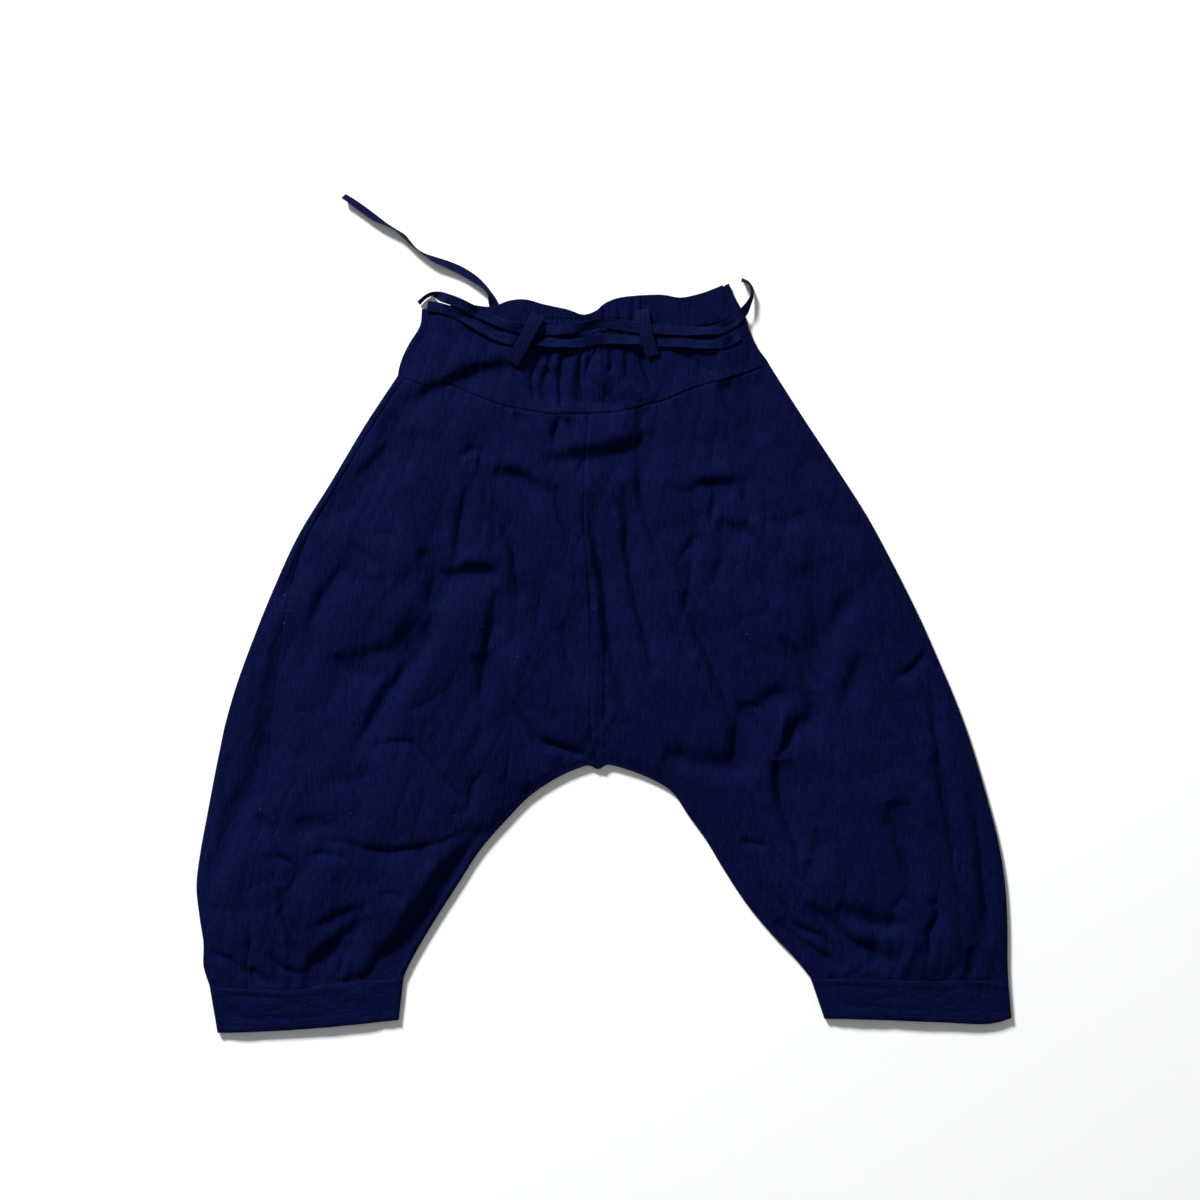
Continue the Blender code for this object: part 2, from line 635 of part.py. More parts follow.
def front_yoke(name, low_line, material):
    """The front yoke, flat on the surface and wrapped round both sides of the waist."""
    left = LEFT_WAIST_SIDE[0].x * MM
    right = RIGHT_WAIST_SIDE[0].x * MM
    seam = YOKE_SIDE_SEAM * MM - SEAM_GAP / 2
    turns = np.linspace(math.pi / 2, -math.pi / 2, ARC_STEPS + 1)
    floor = np.array([x for x in low_line[:, 0] if left + 9 * MM < x < right - 9 * MM])
    outside = []
    inside = []
    for up in np.linspace(0, 1, YOKE_ROWS):
        for points, radius, depth in ((outside, EDGE_RADIUS, 0), (inside, EDGE_RADIUS - CLOTH, CLOTH)):
            columns = np.concatenate([
                [left + seam],
                left + EDGE_RADIUS - radius * np.cos(turns),
                floor,
                right - EDGE_RADIUS + radius * np.cos(turns[::-1]),
                [right - seam],
            ])
            heights = np.concatenate([
                [0], EDGE_RADIUS + radius * np.sin(turns), np.full(len(floor), depth),
                EDGE_RADIUS + radius * np.sin(turns[::-1]), [0],
            ])
            from_side = np.minimum(columns - left, right - columns) - 2 * EDGE_RADIUS
            drop = FRONT_YOKE_DROP * smoothstep(up) * smoothstep(from_side / FRONT_DROP_REACH)
            x, y = yoke_plan(columns, up, low_line, drop)
            heights[[0, -1]] = top_height(x[[0, -1]], y[[0, -1]]) - depth
            points.append(np.stack([x, y, heights], axis=-1))
    return make_wall(name, np.stack(outside), np.stack(inside), material)


def cuff_shares(leg):
    """Where a cuff's columns stand across its top and across its underside: those of the leg's."""
    last = len(leg) - 1
    length = float(np.linalg.norm(inner_end(leg, last) - outer_end(leg, last)))
    side = leg[last].side_seam * MM
    over = [EDGE_RADIUS, (EDGE_RADIUS + side) / 2, *back_insets(side, length)]
    under = front_insets(length)[::-1]
    found = []
    for insets in (over, under):
        share = (np.array(insets) - EDGE_RADIUS) / (length - 2 * EDGE_RADIUS)
        found.append(share if leg is LEFT_LEG else 1 - share[::-1])
    return found[0], found[1][::-1]


def cuff(name, leg, seam, hem, material):
    """A cuff: one flattened ring of cloth, open at both ends."""
    top_line = edge_points(seam, 8)
    low_line = edge_points(hem, 8)
    over_shares, under_shares = cuff_shares(leg)
    turns = np.linspace(math.pi / 2, -math.pi / 2, ARC_STEPS + 1)
    outside = []
    inside = []
    for down in np.linspace(0, 1, CUFF_ROWS):
        left = top_line[0, 0] + (low_line[0, 0] - top_line[0, 0]) * down
        right = top_line[-1, 0] + (low_line[-1, 0] - top_line[-1, 0]) * down
        low_side = left + EDGE_RADIUS
        high_side = right - EDGE_RADIUS
        over = low_side + (high_side - low_side) * over_shares
        under = low_side + (high_side - low_side) * under_shares
        for points, radius, depth in ((outside, EDGE_RADIUS, 0), (inside, EDGE_RADIUS - CLOTH, CLOTH)):
            x = np.concatenate([
                over, high_side + radius * np.cos(turns[1:-1]), under,
                low_side - radius * np.cos(turns[-2:0:-1]),
            ])
            share = (x - left) / (right - left)
            seam_x = top_line[0, 0] + share * (top_line[-1, 0] - top_line[0, 0])
            hem_x = low_line[0, 0] + share * (low_line[-1, 0] - low_line[0, 0])
            seam_y = np.interp(seam_x, top_line[:, 0], top_line[:, 1]) - SEAM_GAP / 2
            hem_y = np.interp(hem_x, low_line[:, 0], low_line[:, 1])
            y = seam_y + (hem_y - seam_y) * down
            z = np.concatenate([
                top_height(x[: len(over)], y[: len(over)]) - depth,
                EDGE_RADIUS + radius * np.sin(turns[1:-1]),
                np.full(len(under), depth),
                EDGE_RADIUS + radius * np.sin(turns[-2:0:-1]),
            ])
            points.append(np.stack([x, y, z], axis=-1))
    return make_wall(name, np.stack(outside), np.stack(inside), material, closed_across=True)


class Strip:
    """A flat strip of cloth along a line: its middle, its lowest edge and its lean at each step."""

    def __init__(self, middle, lowest, lean, width, thickness):
        self.middle = middle
        self.lowest = lowest
        self.lean = lean
        self.width = width
        self.thickness = thickness

    def top_at(self, x, y):
        """The strip's top over points of the plan, or nothing where it isn't near them."""
        best = np.full(x.shape, -1.0)
        for place, low, lean in zip(self.middle, self.lowest, self.lean, strict=True):
            near = np.hypot(x - place[0], y - place[1]) < self.width / 2 + 2.5 * MM
            top = low + self.width * math.sin(lean) + self.thickness * math.cos(lean)
            best = np.where(near, np.maximum(best, top), best)
        return best

    def build(self, name, material):
        """The strip as a solid of flat sections."""
        along = np.gradient(self.middle, axis=0)
        along /= np.linalg.norm(along, axis=1)[:, None]
        across = np.stack([-along[:, 1], along[:, 0]], axis=1)
        corners = []
        for place, side, low, lean in zip(self.middle, across, self.lowest, self.lean, strict=True):
            flat = np.array([side[0], side[1], 0])
            up = np.array([0, 0, 1])
            wide = (flat * math.cos(lean) + up * math.sin(lean)) * self.width / 2
            thick = (up * math.cos(lean) - flat * math.sin(lean)) * self.thickness / 2
            centre = np.array([place[0], place[1], low + abs(wide[2]) + abs(thick[2])])
            corners.append([centre - wide + thick, centre + wide + thick, centre + wide - thick,
                            centre - wide - thick])
        corners = np.array(corners)
        return make_wall(name, corners[:, :2], corners[:, [3, 2]], material)


def spaced(points, step):
    """A line of points at even steps along a smooth curve through those given, any columns wide."""
    rows = np.linspace(0, len(points) - 1, (len(points) - 1) * 12 + 1)
    dense = np.stack([between_rows(points[:, c], rows) for c in range(points.shape[1])], axis=1)
    run = np.concatenate([[0], np.cumsum(np.linalg.norm(np.diff(dense[:, :2], axis=0), axis=1))])
    count = max(2, round(run[-1] / step) + 1)
    even = np.linspace(0, run[-1], count)
    return np.stack([np.interp(even, run, dense[:, c]) for c in range(points.shape[1])], axis=1)


def rest_on(middle, width, below):
    """The lowest edge of a strip that lies over what is below it, smoothed along its length."""
    offsets = np.linspace(-width / 2, width / 2, 5)
    along = np.gradient(middle, axis=0)
    along /= np.linalg.norm(along, axis=1)[:, None]
    across = np.stack([-along[:, 1], along[:, 0]], axis=1)
    highest = np.full(len(middle), 0.0)
    for ahead in (-1.5 * MM, 0, 1.5 * MM):
        for offset in offsets:
            place = middle + across * offset + along * ahead
            for top_at in below:
                highest = np.maximum(highest, top_at(place[:, 0], place[:, 1]))
    padded = np.pad(highest, 1, mode="edge")
    raised = np.maximum(np.maximum(padded[:-2], padded[2:]), highest)
    padded = np.pad(raised, 1, mode="edge")
    return np.maximum(raised, (padded[:-2] + padded[1:-1] + padded[2:]) / 3) + LIFT


def table_line(table):
    return np.stack([column(table, "x"), column(table, "y")], axis=1)


def bend_rows(table):
    """A free stretch of the tie: plan, lowest edge and lean in radians, a row a table row."""
    lean = np.radians([row.lean for row in table])
    return np.stack([column(table, "x"), column(table, "y"), column(table, "lowest"), lean], axis=1)


def flat_rows(table, below, step):
    """A stretch of the tie that lies on the garment, as rows like a free stretch's."""
    middle = spaced(table_line(table), step)
    lowest = rest_on(middle, TIE_WIDTH, below)
    return np.column_stack([middle, lowest, np.zeros(len(middle))])


def tie_strip(rows):
    return Strip(rows[:, :2], rows[:, 2], rows[:, 3], TIE_WIDTH, TIE_THICKNESS)


def belt_loop(name, table, below, material):
    """A belt loop: a strip sewn down at both ends that bridges the tie between them."""
    middle = spaced(table_line(table), 4.5 * MM)
    lowest = rest_on(middle, LOOP_WIDTH, below)
    strip = Strip(middle, lowest, np.zeros(len(middle)), LOOP_WIDTH, LOOP_THICKNESS)
    return strip.build(name, material)


def cotton(name, colour):
    made = bpy.data.materials.new(name)
    made.use_nodes = True
    shader = made.node_tree.nodes["Principled BSDF"]
    shader.inputs["Base Color"].default_value = colour
    shader.inputs["Roughness"].default_value = COTTON_ROUGHNESS
    shader.inputs["Metallic"].default_value = 0
    return made


def main():
    for old in list(bpy.data.objects):
        bpy.data.objects.remove(old)
    cloth = cotton("cotton", NAVY)
    tape = cotton("tie", NAVY_TAPE)

    back_leg("back_leg_left", LEFT_LEG, cloth)
    back_leg("back_leg_right", RIGHT_LEG, cloth)
    front_leg("front_leg_left", LEFT_LEG, cloth)
    front_leg("front_leg_right", RIGHT_LEG, cloth)

    back_yoke("back_yoke", yoke_seam_line(front=False), cloth)
    front_yoke("front_yoke", yoke_seam_line(front=True), cloth)

    cuff("cuff_left", LEFT_LEG, LEFT_CUFF_SEAM, LEFT_CUFF_HEM, cloth)
    cuff("cuff_right", RIGHT_LEG, RIGHT_CUFF_SEAM, RIGHT_CUFF_HEM, cloth)

    lower_rows = flat_rows(LOWER_TIE, [top_height], 8 * MM)
    lower = tie_strip(lower_rows)
    upper_rows = flat_rows(UPPER_TIE, [top_height, lower.top_at], 8 * MM)
    left_rows = spaced(bend_rows(LEFT_BEND), 4 * MM)[::-1]
    right_rows = spaced(bend_rows(RIGHT_BEND), 4 * MM)
    upper = tie_strip(np.concatenate([left_rows, upper_rows, right_rows]))
    lower.build("tie_lower", tape)
    upper.build("tie_upper", tape)
    tie_strip(spaced(bend_rows(LOOSE_END), 5 * MM)).build("tie_loose_end", tape)

    below = [top_height, lower.top_at, upper.top_at]
    belt_loop("belt_loop_left", LEFT_LOOP, below, cloth)
    belt_loop("belt_loop_right", RIGHT_LOOP, below, cloth)


main()
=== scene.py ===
"""The visible model of a pair of balloon trousers in dark navy cotton, laid flat with the back upwards.

Tables are in millimetres: X across, Y up the garment towards the waist. MM turns them into metres.
"""

import logging
import math
from dataclasses import dataclass, field
from enum import Enum
from typing import NamedTuple

import bpy
import numpy as np
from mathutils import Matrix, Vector


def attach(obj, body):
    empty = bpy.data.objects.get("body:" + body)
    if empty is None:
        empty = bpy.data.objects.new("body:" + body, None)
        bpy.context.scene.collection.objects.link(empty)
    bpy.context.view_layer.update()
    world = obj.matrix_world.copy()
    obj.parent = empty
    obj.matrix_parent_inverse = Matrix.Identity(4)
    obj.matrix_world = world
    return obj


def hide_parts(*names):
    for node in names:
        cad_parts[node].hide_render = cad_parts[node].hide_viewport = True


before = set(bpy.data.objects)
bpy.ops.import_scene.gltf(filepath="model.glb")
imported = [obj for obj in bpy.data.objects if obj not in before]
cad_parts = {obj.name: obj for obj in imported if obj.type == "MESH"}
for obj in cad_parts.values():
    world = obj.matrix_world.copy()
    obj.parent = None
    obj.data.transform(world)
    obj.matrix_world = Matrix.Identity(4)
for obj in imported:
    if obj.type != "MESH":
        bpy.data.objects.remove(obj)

log = logging.getLogger("trousers")
Array = np.ndarray

MM = 0.001
EDGE_RADIUS = 3.2 * MM
EDGE_TOP = 2 * EDGE_RADIUS
LOWEST_TOP = 5.2 * MM
CROTCH_ROW = 7
CROTCH_STEP = 0.12
ALLOWANCE = 9 * MM
ELASTIC_LINES = (292, 266)
ELASTIC_ENDS = (-76, 46)


class Side(Enum):
    """Which half of the trousers a piece belongs to, as seen from above."""

    LEFT = "left"
    RIGHT = "right"


class Hold(Enum):
    LAID = "laid"
    GATHERED = "gathered"
    FOLDED = "folded"


class Slot(Enum):
    """The record's material slots."""

    COTTON = "cotton"
    TIE = "tie"


class Section(NamedTuple):
    """A section across a leg: its outer and inner ends, and how far inwards the side seam lies."""

    outer_x: float
    outer_y: float
    inner_x: float
    inner_y: float
    side_seam: float


class Point(NamedTuple):
    """A point of the plan."""

    x: float
    y: float


class Crease(NamedTuple):
    """A fold along a line of places, each across and down from the sheet's upper left corner.

    The height is above zero for a ridge. The reaches are its slopes' widths to the left and the right of
    the line's direction, and crisp is 0 for a soft fold and 1 for a sharp one.
    """

    height: float
    reach_left: float
    reach_right: float
    crisp: float
    places: tuple[tuple[float, float], ...]


class Crown(NamedTuple):
    """How high the middle of the garment stands above its edges, at one place down its length."""

    y: float
    rise: float


class Bend(NamedTuple):
    """A place on a free stretch of the tie: its lowest edge, and its lean in degrees from flat."""

    x: float
    y: float
    lowest: float
    lean: float


LEFT_LEG = [
    Section(-206, 237, -15, 200, 8), Section(-239, 187, -19, 150, 8), Section(-273, 130, -20, 100, 8),
    Section(-305, 78, -16, 45, 10), Section(-330, 24, -13, -10, 17), Section(-351, -28, -13, -65, 29),
    Section(-367, -72, -13, -112, 39), Section(-378, -110, -6, -148, 46),
    Section(-384, -138, -40, -161, 50), Section(-390, -168, -72, -181, 54),
    Section(-396, -200, -98, -207, 57), Section(-403, -238, -124, -237, 59),
    Section(-407, -272, -146, -271, 58), Section(-404, -303, -166, -302, 54),
    Section(-400, -330, -183, -330, 48), Section(-400, -352, -193, -348, 44),
    Section(-394, -372, -200, -363, 40),
]
RIGHT_LEG = [
    Section(165, 248, -15, 200, 8), Section(197, 198, -19, 150, 8), Section(232, 145, -20, 100, 8),
    Section(262, 98, -16, 45, 8), Section(288, 50, -13, -10, 9), Section(313, 0, -13, -65, 13),
    Section(333, -45, -13, -112, 20), Section(350, -85, -6, -148, 28), Section(363, -120, 34, -160, 33),
    Section(374, -155, 66, -177, 37), Section(384, -190, 84, -202, 41), Section(393, -225, 102, -227, 45),
    Section(399, -258, 120, -257, 52), Section(402, -290, 142, -290, 42), Section(403, -320, 167, -320, 26),
    Section(403, -347, 191, -345, 15), Section(404, -370, 206, -364, 12),
]
YOKE_SEAM = [
    Point(-206, 237), Point(-177, 226), Point(-159, 229), Point(-129, 217), Point(-99, 206),
    Point(-67, 200), Point(-50, 197.5), Point(-36, 198), Point(0, 199), Point(28, 203), Point(44, 208),
    Point(61, 212), Point(96, 226), Point(131, 235), Point(165, 248),
]
WAIST_EDGE = [
    Point(-182, 303), Point(-158, 305), Point(-134, 306), Point(-113, 304), Point(-94, 310),
    Point(-78, 311), Point(-59, 306), Point(-36, 301), Point(-21, 296), Point(-8, 300), Point(2, 308),
    Point(21, 314), Point(56, 316), Point(76, 313), Point(96, 317), Point(112, 323), Point(125, 329),
]
LEFT_WAIST_SIDE = [
    Point(-206, 237), Point(-202, 255), Point(-194, 273), Point(-184, 288), Point(-182, 303),
]
RIGHT_WAIST_SIDE = [
    Point(165, 248), Point(154, 268), Point(146, 288), Point(141, 303), Point(132, 314), Point(125, 329),
]
CUFF_SEAM = {
    Side.LEFT: [Point(-394, -372), Point(-317, -374), Point(-267, -368), Point(-200, -363)],
    Side.RIGHT: [
        Point(206, -364), Point(271, -363), Point(312, -365), Point(385, -365), Point(404, -370),
    ],
}
CUFF_HEM = {
    Side.LEFT: [Point(-386, -419), Point(-331, -417), Point(-275, -413), Point(-205, -406)],
    Side.RIGHT: [
        Point(220, -405), Point(250, -405), Point(335, -408), Point(382, -410), Point(406.8, -404),
    ],
}
LEGS = {Side.LEFT: LEFT_LEG, Side.RIGHT: RIGHT_LEG}
SHEET_CENTRE = Point(604, 613)
CROWN = [
    Crown(-420, 1.6), Crown(-385, 2.0), Crown(-366, 3.0), Crown(-350, 7.0), Crown(-325, 11.0),
    Crown(-280, 12.0), Crown(-200, 10.5), Crown(-120, 9.0), Crown(-20, 8.0), Crown(80, 7.0),
    Crown(160, 6.0), Crown(220, 4.5), Crown(270, 3.2), Crown(330, 2.0),
]

CREASES = [
    # The waist: two long bands that sag from the elastic to both sides, and the ledges under them.
    Crease(-3.4, 8, 13, 0.2, (
        (398, 413), (411, 404), (430, 394), (451, 385), (469, 376), (492, 371), (540, 366),
    )),
    Crease(2.4, 12, 7, 0.0, ((400, 399), (440, 378), (470, 365), (505, 358), (535, 357))),
    Crease(-6.0, 12, 8, 0.2, (
        (400, 410), (389, 431), (391, 448), (373, 471), (351, 496), (330, 509), (314, 526),
    )),
    Crease(-2.6, 5, 9, 0.4, ((654, 344), (677, 352), (700, 366), (721, 378))),
    Crease(-5.5, 13, 8, 0.2, ((721, 381), (730, 401), (742, 419), (762, 444))),
    Crease(-3.6, 7.5, 13, 0.3, (
        (536, 469), (550, 462), (572, 461), (596, 458), (620, 452), (639, 448), (651, 440), (664, 422),
    )),
    Crease(2.5, 14, 6, 0.0, ((545, 450), (590, 444), (630, 436), (652, 422))),
    Crease(-3.4, 7, 12, 0.3, ((478, 469), (489, 476), (508, 476), (526, 481), (547, 495), (561, 498))),
    Crease(2.2, 10, 5, 0.0, ((490, 463), (520, 468), (552, 485))),
    Crease(-2.8, 4, 4, 0.6, ((459, 461), (465, 454), (473, 451), (482, 454), (483, 464), (489, 474))),
    Crease(2.0, 3, 3, 0.4, ((466, 463), (474, 458), (477, 466))),
    Crease(-3.0, 6, 11, 0.3, ((663, 487), (688, 493), (698, 487), (720, 486), (743, 486))),
    Crease(2.2, 8, 5, 0.0, ((690, 479), (720, 475), (743, 475))),
    Crease(-3.2, 7, 4, 0.6, ((746, 473), (744, 498), (753, 524))),
    # The left thigh.
    Crease(-4.4, 7, 12, 0.3, ((446, 579), (456, 575), (468, 573), (485, 573), (501, 578))),
    Crease(2.6, 8, 5, 0.0, ((452, 565), (475, 561), (500, 565))),
    Crease(-6.5, 8, 10, 0.2, ((449, 570), (444, 588), (440, 610))),
    Crease(-2.6, 5, 14, 0.3, ((416, 558), (432, 554), (448, 552))),
    Crease(-5.0, 16, 15, 0.0, ((440, 556), (436, 590), (418, 626), (396, 650))),
    Crease(-3.8, 16, 10, 0.0, ((424, 618), (402, 645), (378, 656), (345, 662), (317, 660))),
    Crease(-3.6, 10, 12, 0.2, ((335, 653), (350, 670), (368, 676), (393, 671))),
    Crease(-6.4, 12, 8, 0.4, (
        (446, 602), (431, 629), (418, 650), (406, 670), (390, 692), (376, 716), (362, 738), (352, 756),
    )),
    Crease(2.2, 12, 6, 0.0, ((452, 612), (430, 650), (404, 696), (380, 732))),
    Crease(-4.2, 7, 4, 0.7, ((468, 487), (461, 522), (455, 567))),
    Crease(-4.6, 7, 5, 0.6, ((491, 500), (503, 522), (512, 545), (517, 568), (519, 606))),
    Crease(-4.8, 8, 4.5, 0.7, ((494, 590), (494, 615), (489, 638), (485, 668), (480, 706))),
    Crease(-1.8, 4, 4, 0.7, ((519, 605), (515, 622), (518, 653))),
    Crease(-2.4, 5, 4, 0.5, ((420, 429), (411, 457), (407, 466), (407, 484))),
    Crease(-1.5, 3.5, 3.5, 0.9, ((382, 474), (369, 505), (357, 527), (350, 541))),
    Crease(-2.6, 4, 7, 0.5, ((350, 542), (364, 554), (375, 562), (382, 571))),
    Crease(-1.3, 3, 3, 0.8, ((351, 538), (387, 535), (405, 537))),
    Crease(-3.0, 8, 6, 0.1, ((356, 560), (339, 576), (321, 603), (309, 636))),
    Crease(-1.5, 3, 3, 0.8, ((443, 495), (443, 512), (444, 528))),
    Crease(-1.6, 3, 3, 0.7, ((439, 529), (449, 531))),
    Crease(-2.0, 4, 5, 0.7, ((441, 692), (429, 703), (406, 713))),
    Crease(-3.6, 6, 3, 0.8, ((306, 530), (297, 561), (286, 590), (283, 604))),
    Crease(-6.4, 13, 8, 0.3, (
        (281, 611), (279, 650), (272, 689), (270, 720), (264, 754), (247, 790), (234, 815), (223, 852),
        (209, 894),
    )),
    Crease(-1.6, 4, 4, 0.6, ((236, 812), (249, 801), (263, 790))),
    Crease(-2.0, 5, 5, 0.2, ((261, 812), (263, 832))),
    # The middle, either side of the centre seam.
    Crease(-7.5, 6, 14, 0.3, ((490, 650), (500, 684), (510, 707), (530, 737), (546, 772))),
    Crease(3.2, 5, 6, 0.2, ((512, 690), (530, 722), (546, 744))),
    Crease(-3.2, 5, 5, 0.5, ((512, 694), (531, 725), (545, 741), (577, 753), (596, 762))),
    Crease(1.6, 3, 3, 0.8, ((524, 687), (533, 668), (543, 648))),
    Crease(-6.0, 12, 9, 0.2, ((520, 572), (536, 604), (552, 632), (561, 638), (579, 675), (599, 692))),
    Crease(-6.6, 9, 6, 0.4, (
        (584, 494), (593, 534), (602, 568), (607, 615), (611, 649), (623, 684), (623, 709),
    )),
    Crease(-2.2, 4, 4, 0.7, ((591, 566), (593, 615), (598, 640))),
    Crease(-5.0, 8, 5, 0.5, ((623, 482), (628, 522), (630, 545), (637, 570))),
    Crease(-3.8, 7.5, 4, 0.8, ((625, 528), (630, 573), (639, 615), (646, 638), (655, 679))),
    Crease(-4.8, 9, 5, 0.6, ((642, 400), (642, 440), (641, 495), (653, 538), (669, 573), (675, 590))),
    Crease(2.2, 6, 5, 0.2, ((648, 498), (662, 540), (677, 573))),
    Crease(-4.4, 8, 5, 0.5, ((556, 484), (561, 518), (575, 545), (580, 561))),
    Crease(-2.6, 4, 4, 0.7, ((541, 741), (560, 747), (578, 754))),
    Crease(-2.0, 3, 3, 0.8, ((592, 690), (607, 702), (602, 722))),
    Crease(-2.6, 3.5, 3.5, 0.6, ((598, 736), (598, 764))),
    Crease(1.3, 3, 3, 0.5, ((606, 700), (611, 713), (606, 730))),
    # The right thigh and knee.
    Crease(-2.2, 4, 3.5, 0.7, ((716, 491), (709, 529))),
    Crease(-2.2, 4, 4, 0.6, ((690, 500), (700, 531))),
    Crease(-2.4, 4, 4, 0.8, ((701, 530), (690, 545), (674, 567))),
    Crease(-1.7, 4, 3, 0.7, ((675, 566), (684, 590))),
    Crease(-2.8, 4, 5, 0.6, ((698, 535), (692, 559), (690, 578), (684, 610), (678, 630))),
    Crease(2.4, 10, 5, 0.3, ((697, 556), (703, 590), (712, 630), (722, 668), (734, 708))),
    Crease(-7.5, 9, 6, 0.4, ((684, 590), (691, 614), (707, 650), (721, 684), (734, 725))),
    Crease(-2.0, 5, 4, 0.5, ((662, 594), (670, 615), (681, 638), (696, 653))),
    Crease(-3.6, 6, 12, 0.2, ((712, 525), (735, 530), (755, 541), (766, 560), (772, 580), (783, 602))),
    Crease(-1.6, 4, 10, 0.3, ((714, 521), (738, 527), (759, 528))),
    Crease(-1.7, 4, 4, 0.7, ((721, 558), (716, 578), (707, 590))),
    Crease(-1.6, 3.5, 4, 0.8, ((734, 621), (750, 616), (768, 615))),
    Crease(-2.2, 5, 8, 0.2, ((761, 522), (792, 520), (812, 507))),
    Crease(-4.6, 5, 7, 0.4, ((776, 636), (797, 656), (806, 680), (812, 700))),
    Crease(1.8, 5, 5, 0.5, ((768, 623), (779, 650), (790, 675), (801, 690))),
    Crease(-5.0, 10, 8, 0.2, ((811, 690), (809, 720), (798, 740))),
    Crease(-4.2, 10, 8, 0.0, ((851, 590), (840, 610), (827, 642))),
    Crease(-5.0, 14, 10, 0.0, ((800, 565), (812, 600), (818, 650), (812, 700))),
    Crease(-4.2, 10, 8, 0.0, ((862, 650), (852, 679), (842, 709))),
    Crease(-4.4, 8, 12, 0.2, ((755, 712), (765, 700), (778, 694), (793, 703))),
    Crease(-9.0, 12, 9, 0.2, ((748, 700), (741, 730), (738, 775))),
    Crease(4.2, 6, 5, 0.4, ((783, 701), (780, 730), (776, 753))),
    Crease(-4.0, 7, 5, 0.4, ((800, 715), (790, 735), (781, 753))),
    Crease(-3.2, 5, 4, 0.6, ((776, 752), (778, 776), (784, 797))),
    Crease(-5.0, 9, 9, 0.2, ((662, 752), (691, 761), (728, 766), (756, 770))),
    Crease(-3.6, 7, 5, 0.6, ((924, 667), (932, 705), (940, 771))),
    Crease(-4.0, 7, 5, 0.6, ((928, 754), (937, 775), (945, 813), (949, 840), (953, 870))),
    Crease(1.3, 3, 3, 0.8, ((871, 614), (880, 650), (891, 685))),
    Crease(-3.4, 5, 7, 0.5, ((890, 682), (912, 668), (931, 644))),
    Crease(-3.4, 7, 5, 0.4, ((935, 750), (952, 809), (962, 858))),
    Crease(-5.0, 8, 6, 0.3, ((966, 790), (978, 840), (984, 890), (984, 945))),
    Crease(-2.8, 5, 5, 0.6, ((946, 882), (962, 897), (974, 917), (987, 942))),
    # The right calf and its gathers.
    Crease(-7.0, 12, 8, 0.2, ((776, 760), (780, 790), (788, 820), (802, 858))),
    Crease(-2.6, 9, 8, 0.0, ((820, 826), (815, 850), (806, 880))),
    Crease(-2.2, 4, 4, 0.6, ((738, 840), (752, 842), (767, 847))),
    Crease(-1.8, 6, 12, 0.1, ((884, 804), (900, 806), (915, 804))),
    Crease(-4.6, 12, 10, 0.0, ((884, 800), (903, 850), (918, 892))),
    Crease(-5.5, 9, 8, 0.2, ((834, 904), (850, 915), (866, 921), (884, 925), (898, 922), (909, 913))),
    Crease(-2.0, 4, 4, 0.6, ((902, 892), (896, 902), (890, 910))),
    Crease(-4.2, 5, 5, 0.5, ((928, 899), (937, 906), (935, 918), (929, 930), (927, 957))),
    Crease(2.0, 4, 4, 0.5, ((905, 924), (911, 940), (908, 960))),
    Crease(-2.6, 4, 4, 0.5, ((896, 927), (901, 945), (897, 964))),
    Crease(-7.5, 9, 10, 0.2, ((804, 902), (827, 919), (850, 942), (878, 954), (900, 963))),
    Crease(-4.0, 4.5, 7, 0.4, ((758, 880), (781, 905), (789, 919), (799, 927), (825, 939), (848, 968))),
    Crease(-6.5, 6, 8, 0.3, ((774, 919), (785, 931), (801, 944), (819, 955), (847, 965))),
    Crease(-3.0, 4, 5, 0.4, ((970, 944), (972, 974))),
    Crease(2.0, 5, 5, 0.2, ((952, 925), (955, 965))),
    Crease(-2.4, 4, 4, 0.5, ((872, 930), (874, 950), (869, 968))),
    # The left calf and its gathers.
    Crease(-3.2, 4, 8, 0.7, (
        (316, 839), (347, 841), (365, 847), (380, 850), (400, 850), (419, 847), (447, 839), (475, 827),
    )),
    Crease(-2.2, 4, 4, 0.6, ((420, 847), (435, 865))),
    Crease(-2.0, 4, 5, 0.5, ((307, 857), (321, 852), (352, 857))),
    Crease(-2.6, 8, 10, 0.0, ((288, 826), (318, 822), (347, 831))),
    Crease(-3.2, 5, 6, 0.5, ((262, 855), (284, 857), (297, 868), (303, 885), (311, 897))),
    Crease(-4.6, 7, 6, 0.4, ((281, 885), (288, 918), (299, 940), (302, 965))),
    Crease(-2.2, 6, 6, 0.2, ((251, 850), (247, 896), (251, 931), (254, 965))),
    Crease(-7.5, 12, 9, 0.2, ((372, 916), (347, 935), (329, 953), (312, 968), (301, 976))),
    Crease(-3.2, 5, 5, 0.4, ((272, 948), (277, 961), (290, 970), (304, 974))),
    Crease(-2.4, 4, 4, 0.6, ((350, 940), (344, 958), (340, 975))),
    Crease(-6.0, 6, 6, 0.4, ((410, 927), (398, 944), (386, 957), (377, 970), (367, 978), (340, 982))),
    Crease(-9.0, 8, 15, 0.2, ((500, 832), (482, 856), (461, 884), (438, 920), (418, 948), (396, 978))),
    Crease(5.0, 10, 12, 0.0, ((470, 834), (444, 856), (417, 894), (394, 926), (372, 954))),
    Crease(-2.0, 4, 5, 0.4, ((376, 895), (392, 892), (409, 898))),
    Crease(-3.4, 8, 6, 0.2, ((373, 904), (351, 911), (330, 920), (310, 930))),
    Crease(-3.0, 4, 4, 0.5, ((204, 945), (216, 953), (227, 959), (248, 977))),
    Crease(-2.2, 3.5, 3.5, 0.6, ((228, 952), (238, 964), (250, 978))),
    Crease(-3.0, 4, 4, 0.6, ((252, 966), (262, 976), (274, 984))),
    Crease(-2.6, 4, 7, 0.6, (
